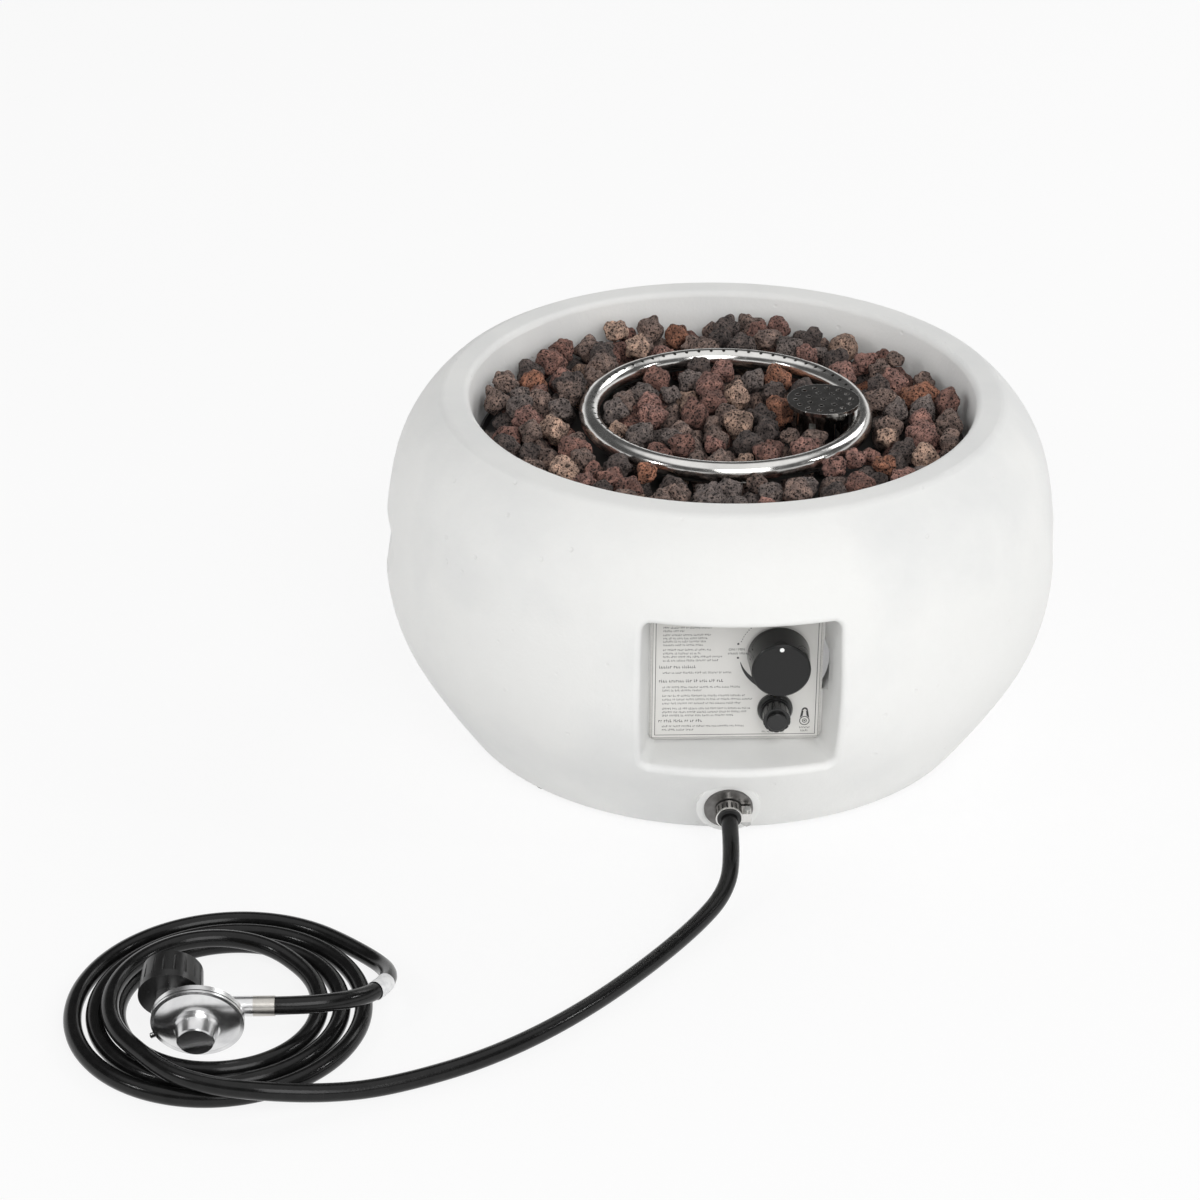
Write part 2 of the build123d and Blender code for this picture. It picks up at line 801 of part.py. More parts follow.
def panel_label():
    """Printed face glued to the panel, cut out round the valve's screws and the igniter."""
    face = Plane(origin=(0, panel_front, (panel_top + panel_bottom) / 2), x_dir=(1, 0, 0), z_dir=(0, -1, 0))
    outline = RectangleRounded(panel_width - 2 * label_border, panel_top - panel_bottom - 2 * label_border,
                               panel_corner - label_border)
    label = extrude(face * outline, amount=label_thickness)
    screw_room = valve_screw_spacing / 2 + valve_screw_head + label_screw_clearance
    label = label - y_rod(screw_room, valve_x, valve_z, label_front, panel_front)
    igniter_hole = igniter_barrel_radius + fit_clearance
    return label - y_rod(igniter_hole, igniter_x, igniter_z, label_front, panel_front)


def panel_nuts():
    """Nuts on the panel's studs, behind the casting's back wall."""
    nuts = []
    for x, z in stud_places():
        blank = RegularPolygon(stud_nut_radius, 6) - Circle(stud_radius + fit_clearance)
        plane = Plane((x, recess_back + recess_wall, z), z_dir=(0, 1, 0))
        nuts.append(extrude(plane * blank, amount=stud_nut_height))
    return nuts


def valve_screw_places():
    """The two valve screws stand level with the stem, hidden by the knob."""
    return (valve_x - valve_screw_spacing / 2, valve_x + valve_screw_spacing / 2)


def gas_valve():
    """Die-cast valve body with a bore for the stem and a pocket for its spring seat."""
    middle = (recess_back + valve_rear) / 2
    body = Pos(valve_x, middle, valve_z) * Box(valve_width, valve_length, valve_height)
    body = fillet(body.edges().filter_by(Axis.Y), valve_corner)
    bore_end = recess_back + stem_bore_depth
    body = body - y_rod(stem_radius + running_clearance, valve_x, valve_z, recess_back, bore_end)
    pocket_radius = seat_radius + running_clearance
    body = body - y_rod(pocket_radius, valve_x, valve_z, recess_back, recess_back + seat_pocket_depth)
    for x in valve_screw_places():
        body = body - y_rod(valve_screw_radius + fit_clearance, x, valve_z, recess_back,
                            recess_back + valve_screw_depth)
    return body


def valve_screws():
    """Pan-head screws through the panel into the valve."""
    screws = []
    for x in valve_screw_places():
        shank = y_rod(valve_screw_radius, x, valve_z, panel_front, recess_back + valve_screw_depth)
        head = y_rod(valve_screw_head, x, valve_z, panel_front - valve_screw_head_height, panel_front)
        screws.append(shank + head)
    return screws


def stem_seat():
    """Sliding washer that the valve's return spring pushes on."""
    start = recess_back + seat_inset
    washer = y_rod(seat_radius, valve_x, valve_z, start, start + seat_thickness)
    return washer - y_rod(stem_radius + running_clearance, valve_x, valve_z, start, start + seat_thickness)


def stem_bar(radius, flat, y_start, y_end):
    """A round bar on the knob's axis with a flat on top."""
    bar = y_rod(radius, valve_x, valve_z, y_start, y_end)
    cut = Pos(valve_x, (y_start + y_end) / 2, valve_z + radius - flat + radius) * Box(
        4 * radius, abs(y_end - y_start), 2 * radius)
    return bar - cut


def valve_stem():
    """Brass stem with a clip in front of its spring seat and a flat for the knob."""
    shaft = y_rod(stem_radius, valve_x, valve_z, label_front, recess_back + stem_reach_inside)
    clip_back = recess_back + seat_inset
    clip_front = clip_back - stem_clip_thickness
    clip = y_rod(stem_radius + stem_clip_overhang, valve_x, valve_z, clip_front, clip_back)
    nose = stem_bar(stem_radius, stem_flat, knob_rear - knob_socket_depth + running_clearance, label_front)
    return shaft + clip + nose


def control_knob():
    """Moulded knob: a hollow tapered cup with a hub on the stem and a seat for the pointer dot."""
    face_radius = knob_radius - knob_taper
    inside = knob_radius - knob_wall
    cup_floor = knob_face + knob_wall
    knob = turned_y(
        [
            (0, knob_face),
            (face_radius - knob_edge, knob_face),
            (face_radius, knob_face + knob_edge),
            (knob_radius, knob_rear),
            (inside, knob_rear),
            (inside - knob_taper, cup_floor),
            (knob_hub_radius, cup_floor),
            (knob_hub_radius, knob_rear),
            (0, knob_rear),
        ],
        valve_x,
        valve_z,
    )
    socket = stem_bar(stem_radius + fit_clearance, stem_flat, knob_rear - knob_socket_depth, knob_rear)
    return knob - socket - y_rod(dot_radius, valve_x, valve_z + dot_offset, knob_face, knob_face + dot_depth)


def knob_dot():
    """White pointer dot set into the knob's face."""
    return y_rod(dot_radius, valve_x, valve_z + dot_offset, knob_face, knob_face + dot_depth)


battery_front = igniter_front + cap_plug_length + battery_nub_length
battery_rear = battery_front + battery_length


def igniter_barrel():
    """Moulded barrel that holds the battery, with a flange behind the panel."""
    barrel = y_rod(igniter_barrel_radius, igniter_x, igniter_z, igniter_front, igniter_rear)
    flange_back = recess_back + igniter_flange_thickness
    barrel = barrel + y_rod(igniter_flange_radius, igniter_x, igniter_z, recess_back, flange_back)
    barrel = barrel - y_rod(cap_plug_radius + running_clearance, igniter_x, igniter_z, igniter_front,
                            igniter_front + cap_plug_length)
    bore_end = battery_rear + contact_thickness
    return barrel - y_rod(battery_radius + battery_clearance, igniter_x, igniter_z, igniter_front, bore_end)


def igniter_nut():
    """Round nut that clamps the barrel to the panel."""
    bore = igniter_barrel_radius + fit_clearance
    middle = (label_front + igniter_front) / 2
    lip = (bore + igniter_nut_radius) / 2
    return turned_y(
        [(bore, label_front), (igniter_nut_radius, label_front), (igniter_nut_radius, middle),
         (lip, igniter_front), (bore, igniter_front)],
        igniter_x,
        igniter_z,
    )


def igniter_cap():
    """Fluted battery cap with a bore for the push button."""
    cap_front = igniter_front - cap_length
    cap = y_rod(cap_radius, igniter_x, igniter_z, cap_front, igniter_front)
    cap = cap + y_rod(cap_plug_radius, igniter_x, igniter_z, igniter_front, igniter_front + cap_plug_length)
    bore_end = cap_front - button_proud + button_length + button_travel + button_spare
    cap = cap - y_rod(button_radius + running_clearance, igniter_x, igniter_z, cap_front, bore_end)
    flute_circle = cap_radius + cap_flute_radius / 2
    for index in range(cap_flutes):
        angle = 2 * math.pi * index / cap_flutes
        x = igniter_x + flute_circle * math.cos(angle)
        z = igniter_z + flute_circle * math.sin(angle)
        cap = cap - y_rod(cap_flute_radius, x, z, cap_front, igniter_front - cap_flute_stop)
    return cap


def igniter_button():
    """Push button with a rounded edge."""
    front = igniter_front - cap_length - button_proud
    button = y_rod(button_radius, igniter_x, igniter_z, front, front + button_length)
    return fillet(button.edges().group_by(Axis.Y)[0], button_edge)


def battery():
    """AAA cell in the barrel, its nub towards the cap."""
    cell = y_rod(battery_radius, igniter_x, igniter_z, battery_front, battery_rear)
    nub_end = battery_front - battery_nub_length
    return cell + y_rod(battery_nub_radius, igniter_x, igniter_z, nub_end, battery_front)


def battery_contact():
    """Plated disc at the bottom of the battery's bore."""
    return y_rod(battery_radius, igniter_x, igniter_z, battery_rear, battery_rear + contact_thickness)


def igniter_terminals():
    """Blade terminals on the barrel's back."""
    blades = []
    for side in (-1, 1):
        x = igniter_x + side * igniter_barrel_radius / 2
        blades.append(Pos(x, igniter_rear + terminal_length / 2, igniter_z) * Box(
            terminal_thickness, terminal_length, terminal_width))
    return blades


def gland_ring(outer, inner, start, end):
    """A ring round the hose's axis between two distances from the casting's pad."""
    plane = Plane(origin=gland_point + gland_axis * start, x_dir=(1, 0, 0), z_dir=gland_axis)
    return extrude(plane * (Circle(outer) - Circle(inner)), amount=end - start)


clamp_start = flange_thickness + clamp_stand_off
clamp_end = clamp_start + clamp_width
clamp_inner = bush_radius + fit_clearance
clamp_outer = clamp_inner + clamp_thickness


def hose_flange():
    """Steel washer on the casting's pad."""
    return gland_ring(flange_radius, bush_radius + fit_clearance, 0, flange_thickness)


def hose_bush():
    """Rubber bush that carries the hose through the casting."""
    bush_end = flange_thickness + bush_proud
    return gland_ring(bush_radius, hose_radius + fit_clearance, -gland_boss_length, bush_end)


def clamp_band():
    """Steel band that grips the bush, slotted for the worm screw all round except under its housing."""
    band = gland_ring(clamp_outer, clamp_inner, clamp_start, clamp_end)
    under_housing = math.degrees(math.asin(clamp_housing / 2 / clamp_inner))
    slot_length = clamp_width - 2 * clamp_slot_margin
    slot = Pos(clamp_outer, 0, 0) * Box(4 * clamp_thickness, clamp_slot_width, slot_length)
    slots = []
    for index in range(clamp_slots):
        angle = 360 * index / clamp_slots
        if under_housing < angle < 360 - under_housing:
            slots.append(clamp_plane().location * Rot(0, 0, angle) * slot)
    return band - slots


def clamp_plane():
    """The clamp's middle plane, with the worm screw on its +X side."""
    middle = (clamp_start + clamp_end) / 2
    return Plane(origin=gland_point + gland_axis * middle, x_dir=(1, 0, 0), z_dir=gland_axis)


def clamp_housing_block():
    """Pressed housing that holds the worm screw against the band."""
    middle = clamp_outer + clamp_housing_height / 2
    block = Pos(middle - clamp_housing_sink / 2, 0, 0) * Box(
        clamp_housing_height + clamp_housing_sink, clamp_housing, clamp_width)
    block = block - Cylinder(clamp_outer + fit_clearance, 2 * clamp_width)
    bore = Pos(middle, 0, 0) * Rot(90, 0, 0) * Cylinder(clamp_screw_radius + fit_clearance, 2 * clamp_housing)
    return clamp_plane().location * (block - bore)


def clamp_screw():
    """Worm screw with a slotted hexagon head at its lower end."""
    middle = clamp_outer + clamp_housing_height / 2
    start = -clamp_housing / 2 - clamp_screw_proud
    shank = Plane((middle, start, 0), z_dir=(0, 1, 0)) * Circle(clamp_screw_radius)
    head = Plane((middle, start, 0), z_dir=(0, 1, 0)) * RegularPolygon(clamp_screw_head, 6)
    screw = extrude(shank, amount=clamp_screw_length) + extrude(head, amount=clamp_screw_head_height)
    slot = Pos(middle, start, 0) * Box(
        4 * clamp_screw_head, 2 * clamp_screw_slot_depth, clamp_screw_slot_width)
    return clamp_plane().location * (screw - slot)


def inlet_elbow():
    """Brass elbow from the valve's side down to the hose."""
    side = valve_x - valve_width / 2
    elbow = x_rod(elbow_radius, inlet_y, valve_z, gland_x, side)
    elbow = elbow + z_rod(elbow_radius, gland_x, inlet_y, valve_z - elbow_drop, valve_z)
    return elbow + Pos(gland_x, inlet_y, valve_z) * Sphere(elbow_radius + elbow_ball_overhang)


inlet_nut_top = valve_z - elbow_drop
inlet_nut_bottom = inlet_nut_top - inlet_nut_length


def inlet_nut():
    """Union nut between the elbow and the hose."""
    return Pos(gland_x, inlet_y, inlet_nut_bottom) * hexagon_bar(inlet_nut_radius, inlet_nut_length)


def inner_ferrule():
    """Crimped sleeve on the hose's inner end."""
    ferrule_bottom = inlet_nut_bottom - inner_ferrule_length
    sleeve = z_rod(inner_ferrule_radius, gland_x, inlet_y, ferrule_bottom, inlet_nut_bottom)
    return sleeve - z_rod(hose_radius + fit_clearance, gland_x, inlet_y, 0, inlet_nut_bottom)


def hose_inner():
    """The hose from the front of its bush to the valve's inlet, inside the casting."""
    rise = (inlet_y - gland_y) * math.tan(math.radians(gland_droop))
    path = FilletPolyline(
        hose_exit,
        (gland_x, inlet_y, gland_height + rise),
        (gland_x, inlet_y, inlet_nut_bottom),
        radius=inner_bend,
    )
    return tube_along(path, hose_radius)


def free_path(points):
    """Straight runs with the largest tangent arcs that two runs leave room for."""
    points = [Vector(*point) for point in points]
    radii = []
    for before, corner, after in zip(points, points[1:], points[2:]):
        turn = (corner - before).get_angle(after - corner)
        run = min((corner - before).length, (after - corner).length)
        radii.append(0.45 * run / math.tan(math.radians(turn / 2)))
    return FilletPolyline(*points, radius=radii), radii


def coil_points():
    """Quarter-turn stations of the coil: in along the ground, up a layer, and out again on top."""
    stations = []
    quarters_in = round(4 * coil_inward_turns)
    quarters_out = round(4 * coil_outward_turns)
    layer = 2 * hose_radius + coil_layer_gap
    inner_radius = coil_outer_radius - coil_step * coil_inward_turns
    for quarter in range(quarters_in + quarters_out + 1):
        angle = math.radians(coil_start_angle + 90 * quarter)
        past = quarter - quarters_in
        if past <= 0:
            radius = coil_outer_radius - coil_step * quarter / 4
            slope = -coil_step
        else:
            radius = inner_radius + coil_outward_step * past / 4
            slope = coil_outward_step
        if past == 0:
            slope = (coil_outward_step - coil_step) / 2
        height = hose_radius + layer * min(1, max(0, (past + 1) / 2))
        climb = layer / 4 if past == 0 else 0
        outward = Vector(math.cos(angle), math.sin(angle), 0)
        along = Vector(-math.sin(angle), math.cos(angle), 0)
        quarter_length = radius * math.pi / 2
        heading = along * quarter_length + outward * slope / 4 + Vector(0, 0, 2 * climb)
        centre = Vector(coil_x, coil_y, height)
        stations.append((centre + outward * radius, heading.normalized()))
    return stations


def biarc(start, start_heading, end, end_heading):
    """Two arcs that join two points and take up their headings."""
    span = end - start
    both = start_heading + end_heading
    a = both.dot(both) - 4
    b = -2 * span.dot(both)
    c = span.dot(span)
    reach = (-b - math.sqrt(b * b - 4 * a * c)) / (2 * a)
    first = start + start_heading * reach
    second = end - end_heading * reach
    middle = (first + second) * 0.5
    return [TangentArc(start, middle, tangent=start_heading),
            TangentArc(middle, end, tangent=second - first)]


def coil_path():
    """The coil's centre line, with a straight end of one hose diameter at both ends."""
    stations = coil_points()
    first, first_heading = stations[0]
    last, last_heading = stations[-1]
    pieces = [Line(first - first_heading * 2 * hose_radius, first)]
    for (start, start_heading), (end, end_heading) in zip(stations, stations[1:]):
        pieces += biarc(start, start_heading, end, end_heading)
    pieces.append(Line(last, last + last_heading * 2 * hose_radius))
    return Wire(pieces)


def coil_self_gap(path):
    """The least clear distance between one turn of the coil and another."""
    count = 900
    samples = np.array([tuple(path @ (index / count)) for index in range(count + 1)])
    step = path.length / count
    apart = np.abs(np.subtract.outer(np.arange(count + 1), np.arange(count + 1))) * step
    distance = np.linalg.norm(samples[:, None, :] - samples[None, :, :], axis=2)
    return float(distance[apart > 8 * hose_radius].min() - 2 * hose_radius)


def resting(x, y, lift):
    """A point of the hose's centre line, by its lift above lying on the ground."""
    return Vector(x, y, hose_radius + lift)


def lead_points():
    """The hose from its clamp down to the ground, across to the coil and up onto it."""
    end, heading = coil_points()[-1]
    end = end + heading * 2 * hose_radius
    layer = 2 * hose_radius + coil_layer_gap
    return [
        hose_exit,
        hose_exit + gland_axis * 40.5,
        resting(-12, -305, 9),
        resting(-31, -331, 2.5),
        resting(-63, -371, 0),
        resting(-102, -416, 0),
        resting(-142, -453, 0),
        resting(-181, -480, 0),
        resting(-219, -498, 0),
        resting(-252, -511, 1.5),
        resting(-284, -520.5, 6.5),
        resting(-316, -525.5, layer),
        resting(-347, -520, layer),
        end + heading * 30,
        end,
    ]


def hose_lead():
    """Free hose between the bowl and the coil."""
    path, radii = free_path(lead_points())
    return tube_along(path, hose_radius)


def hose_coil():
    """Three flat turns and the start of a second layer."""
    path = coil_path()
    return tube_along(path, hose_radius)


outlet_y = reg_y + outlet_setback
outlet_face = reg_x + reg_radius + outlet_boss_reach
rim_ahead = outlet_setback + reg_gasket + reg_flange
reg_height = reg_radius * math.cos(math.radians(reg_tilt)) + rim_ahead * math.sin(math.radians(reg_tilt))


def tail_points():
    """The hose from the regulator's outlet, over the coil's edge and round into its outer turn."""
    start, heading = coil_points()[0]
    start = start - heading * 2 * hose_radius
    outlet_lift = reg_height - hose_radius
    return [
        Vector(outlet_face, outlet_y, reg_height),
        Vector(outlet_face + 2 * ferrule_length, outlet_y, reg_height),
        resting(-275.7, -448.8, outlet_lift - 1.5),
        resting(-255.5, -435.3, 19.5),
        resting(-244, -415.4, 14),
        resting(-241.6, -392.5, 6.5),
        start - heading * 23.6,
        start,
    ]


def hose_tail():
    """Free hose between the coil and the regulator."""
    path, radii = free_path(tail_points())
    return tube_along(path, hose_radius)


def hose_sleeve():
    """Plain sleeve that follows the tail's bend."""
    path, radii = free_path(tail_points())
    corner = tail_points()[4]
    bend = path.edges().filter_by(GeomType.CIRCLE).sort_by_distance(corner)[0]
    inner = hose_radius + fit_clearance
    section = Circle(inner + sleeve_thickness) - Circle(inner)
    return sweep(Plane(bend @ 0, z_dir=bend % 0) * section, path=bend)


def hose_ferrule():
    """Crimped sleeve where the hose leaves the regulator."""
    sleeve = x_rod(ferrule_radius, outlet_y, reg_height, outlet_face, outlet_face + ferrule_length)
    bore = hose_radius + fit_clearance
    return sleeve - x_rod(bore, outlet_y, reg_height, outlet_face, outlet_face + ferrule_length)


inlet_x = reg_x + inlet_offset_x
inlet_z = reg_height + inlet_offset_z
reg_back = reg_y + reg_rear_depth + reg_block_depth
inlet_face = reg_back + inlet_boss_proud
cover_seam = reg_y - reg_gasket
cover_face = cover_seam - reg_front_depth
nut_start = inlet_face + nut_gap
nut_end = nut_start + nut_length


def leaned(piece):
    """A piece of the upright regulator, leaned forward about the outlet's axis."""
    return piece.rotate(Axis((reg_x, outlet_y, reg_height), (1, 0, 0)), reg_tilt)


def regulator_body():
    """Die-cast rear half with the outlet boss, the inlet boss and a vent nub on its edge."""
    body = turned_y(
        [
            (0, reg_y),
            (reg_radius, reg_y),
            (reg_radius, reg_y + reg_rim),
            (reg_rear_radius, reg_y + reg_rear_depth),
            (reg_rear_radius, reg_back),
            (0, reg_back),
        ],
        reg_x,
        reg_height,
    )
    body = body + x_rod(outlet_boss_radius, outlet_y, reg_height, reg_x, outlet_face)
    body = body + y_rod(inlet_boss_radius, inlet_x, inlet_z, reg_y + reg_rim, inlet_face)
    turn = math.radians(vent_angle)
    outward = Vector(math.cos(turn), 0, math.sin(turn))
    root = Vector(reg_x, reg_y + vent_radius, reg_height) + outward * (reg_radius - vent_length)
    vent = extrude(Plane(root, z_dir=outward) * Circle(vent_radius), amount=2 * vent_length)
    return leaned(body + vent)


def regulator_gasket():
    """Edge of the diaphragm between the two halves."""
    return leaned(y_rod(reg_radius, reg_x, reg_height, cover_seam, reg_y))


def regulator_cover():
    """Front half: a flange that is crimped to the rear half, and a shallow dome up to the cap."""
    flange_face = cover_seam - reg_flange
    dome_edge = reg_radius - reg_flange_step
    flange = Polyline(
        (reg_x, cover_seam, reg_height),
        (reg_x + reg_radius, cover_seam, reg_height),
        (reg_x + reg_radius, flange_face, reg_height),
        (reg_x + dome_edge, flange_face, reg_height),
    )
    dome = ThreePointArc(
        (reg_x + dome_edge, flange_face, reg_height),
        (reg_x + (dome_edge + reg_front_radius) / 2, (flange_face + cover_face) / 2 - reg_dome, reg_height),
        (reg_x + reg_front_radius, cover_face, reg_height),
    )
    middle = Polyline(
        (reg_x + reg_front_radius, cover_face, reg_height),
        (reg_x, cover_face, reg_height),
        (reg_x, cover_seam, reg_height),
    )
    section = Face(Wire(flange.edges() + [dome] + middle.edges()))
    return leaned(revolve(section, Axis((reg_x, 0, reg_height), (0, 1, 0))))


def regulator_cap():
    """Tapered screw cap over the adjusting spring, with a lip at its base."""
    tip = cover_face - cap_height
    return leaned(turned_y(
        [
            (0, cover_face),
            (cap_base_radius, cover_face),
            (cap_base_radius, cover_face - cap_base_lip),
            (cap_neck_radius, cover_face - 2 * cap_base_lip),
            (cap_tip_radius, tip + cap_edge),
            (cap_tip_radius - cap_edge, tip),
            (0, tip),
        ],
        reg_x,
        reg_height,
    ))


def inlet_nipple():
    """Brass nipple that the coupling nut turns on, with a collar that keeps the nut."""
    collar_start = nut_start + nut_wall_thickness + nipple_play
    collar_end = collar_start + nipple_collar_length
    nose_end = nut_end - nut_thread_length - nipple_nose_setback
    return leaned(turned_y(
        [
            (nipple_bore, inlet_face),
            (nipple_radius, inlet_face),
            (nipple_radius, collar_start),
            (nipple_radius + nipple_collar_overhang, collar_start),
            (nipple_radius + nipple_collar_overhang, collar_end),
            (nipple_radius, collar_end),
            (nipple_radius - nipple_nose_taper, nose_end),
            (nipple_bore, nose_end),
        ],
        inlet_x,
        inlet_z,
    ))


def coupling_nut():
    """Ribbed hand nut, widest at its hand ring, with an inside thread for the cylinder's valve."""
    thread_start = nut_end - nut_thread_length
    mouth_radius_outside = nut_radius - nut_taper
    nut = turned_y(
        [(0, nut_start), (nut_radius, nut_start), (nut_radius, nut_start + nut_ring_length),
         (mouth_radius_outside, nut_end), (0, nut_end)],
        inlet_x,
        inlet_z,
    )
    nut = nut - y_rod(nipple_radius + running_clearance, inlet_x, inlet_z, nut_start, nut_end)
    relief_start = nut_start + nut_wall_thickness
    nut = nut - y_rod(nut_thread_radius + nut_relief, inlet_x, inlet_z, relief_start, thread_start)
    nut = nut - y_rod(nut_thread_radius, inlet_x, inlet_z, thread_start, nut_end)
    grooves = []
    for index in range(nut_ribs):
        angle = 2 * math.pi * index / nut_ribs
        x = inlet_x + nut_radius * math.cos(angle)
        z = inlet_z + nut_radius * math.sin(angle)
        grooves.append(y_rod(nut_rib_depth, x, z, nut_start + nut_ring_length, nut_end))
    return leaned(nut - grooves)


def rock_centres():
    """Rock centres and sizes: a layer on the pan, one that nests in its hollows, then chips in the gaps."""
    source = random.Random(rock_seed)
    inner_limit = ring_radius - ring_tube_radius
    outer_limit = ring_radius + ring_tube_radius
    wall_limit = pan_radius - pan_thickness
    rocks = []
    for layer, mean_size in enumerate((rock_size, rock_size, rock_chip_size)):
        for dart in range(rock_darts):
            size = mean_size * (1 + rock_size_spread * source.uniform(-1, 1))
            x = source.uniform(-pan_radius, pan_radius)
            y = source.uniform(-pan_radius, pan_radius)
            margin = 0.75 * size
            from_ring = math.hypot(x - burner_x, y)
            inside = from_ring < inner_limit - margin
            outside = from_ring > outer_limit + margin and math.hypot(x, y) < wall_limit - margin
            if not (inside or outside) or math.hypot(x - hood_x, y - hood_y) < hood_radius + margin:
                continue
            z = pan_floor + 0.9 * size
            if layer == 0:
                clear = all(
                    math.hypot(x - a, y - b) > rock_spacing * (size + other) for a, b, c, other in rocks)
            else:
                for a, b, c, other in rocks:
                    reach = rock_nesting * (size + other)
                    away = math.hypot(x - a, y - b)
                    if c < pan_floor + 1.3 * other and away < reach:
                        z = max(z, c + math.sqrt(reach * reach - away * away))
                clear = z < bowl_height - 1.55 * size and all(
                    math.dist((x, y, z), (a, b, c)) > 0.8 * (size + other) for a, b, c, other in rocks)
            if clear:
                rocks.append((x, y, z, size))
    return rocks


def rock_planes(rocks, index, source):
    """The cuts that bound one rock: its own facets first, then its neighbours, the pan and the steel."""
    x, y, z, size = rocks[index]
    centre = np.array([x, y, z])
    planes = []
    for facet in range(rock_facets):
        height = 1 - 2 * (facet + 0.5) / rock_facets
        turn = 2.39996 * facet + source.uniform(-0.5, 0.5) + index
        flat = math.sqrt(1 - height * height)
        rise = height + source.uniform(-0.15, 0.15)
        normal = np.array([flat * math.cos(turn), flat * math.sin(turn), rise])
        normal = normal / np.linalg.norm(normal)
        planes.append((normal, normal @ centre + size * source.uniform(0.78, 1.0)))
    own = len(planes)
    for other, (a, b, c, other_size) in enumerate(rocks):
        away = np.array([a - x, b - y, c - z])
        distance = np.linalg.norm(away)
        if other != index and distance < 1.35 * (size + other_size):
            normal = away / distance
            middle = (distance * distance + size * size - other_size * other_size) / (2 * distance)
            planes.append((normal, normal @ centre + middle - rock_gap / 2))
    planes.append((np.array([0.0, 0.0, -1.0]), -pan_floor))
    planes.append((np.array([0.0, 0.0, 1.0]), bowl_height - rock_headroom))
    bow = (rock_reach * size) ** 2 / (2 * ring_radius - 4 * ring_tube_radius)
    ring_middle = np.array([burner_x, 0.0, 0.0])
    planes += radial_planes(
        centre, ring_middle, ring_radius - ring_tube_radius - bow, ring_radius + ring_tube_radius)
    planes += radial_planes(centre, np.zeros(3), pan_radius - pan_thickness - bow, 0)
    planes += radial_planes(centre, np.array([hood_x, hood_y, 0.0]), 0, hood_radius)
    return planes, own


def radial_planes(centre, middle, inside, outside):
    """A cut square to the line from an upright axis, on the side of the limit that the rock is on."""
    normal = (centre - middle) * np.array([1.0, 1.0, 0.0])
    distance = np.linalg.norm(normal)
    normal = normal / distance
    if distance < inside:
        return [(normal, normal @ middle + inside - rock_gap)]
    if outside and distance > outside:
        return [(-normal, -(normal @ middle) - outside - rock_gap)]
    return []


def cut_corners(planes):
    """The corners of the solid that a set of cuts leaves, and the ring of corners on each cut."""
    normals = np.array([plane[0] for plane in planes])
    offsets = np.array([plane[1] for plane in planes])
    triples = np.array([(i, j, k) for i in range(len(planes)) for j in range(i) for k in range(j)])
    matrices = normals[triples]
    good = np.abs(np.linalg.det(matrices)) > 1e-4
    points = np.linalg.solve(matrices[good], offsets[triples[good]][:, :, None])[:, :, 0]
    points = points[(points @ normals.T <= offsets + 1e-6).all(axis=1)]
    points = points[np.sort(np.unique(points.round(5), axis=0, return_index=True)[1])]
    rings = []
    for normal, offset in zip(normals, offsets):
        ring = points[np.abs(points @ normal - offset) < 1e-4]
        if len(ring) > 2:
            middle = ring.mean(axis=0)
            across = np.cross(normal, ring[0] - middle)
            along = np.cross(across, normal)
            turn = np.arctan2((ring - middle) @ across, (ring - middle) @ along)
            ring = ring[np.argsort(turn)]
        rings.append(ring)
    return points, rings


def is_closed(points, rings):
    """Corners, sides and faces of a closed solid add up."""
    faces = [len(ring) for ring in rings if len(ring) > 2]
    return len(points) - sum(faces) / 2 + len(faces) == 2


def shortest_side(ring):
    """The length of a face's shortest side."""
    return np.linalg.norm(ring - np.roll(ring, 1, axis=0), axis=1).min() if len(ring) > 2 else 0


def rock_solid(rocks, index):
    """One faceted rock, without those of its facets that are too small to see."""
    planes, own = rock_planes(rocks, index, random.Random(rock_seed * 1000 + index))
    centre = np.array(rocks[index][:3])
    reach = rock_reach * rocks[index][3]
    points, rings = cut_corners(planes)
    place = 0
    while place < own:
        place += 1
        if shortest_side(rings[place - 1]) >= rock_least_side:
            continue
        fewer = planes[:place - 1] + planes[place:]
        fewer_points, fewer_rings = cut_corners(fewer)
        inside = np.linalg.norm(fewer_points - centre, axis=1).max() < reach
        if inside and is_closed(fewer_points, fewer_rings):
            planes, points, rings = fewer, fewer_points, fewer_rings
            own -= 1
            place -= 1
    faces = [Face(Wire.make_polygon([Vector(*point) for point in ring])) for ring in rings if len(ring) > 2]
    return Solid(Shell(faces))


def lava_rocks():
    """All rocks, split into those inside the ring burner and those outside it."""
    rocks = rock_centres()
    inner = []
    outer = []
    for index, (x, y, z, size) in enumerate(rocks):
        bed = inner if math.hypot(x - burner_x, y) < ring_radius else outer
        bed.append(rock_solid(rocks, index))
    return inner, outer


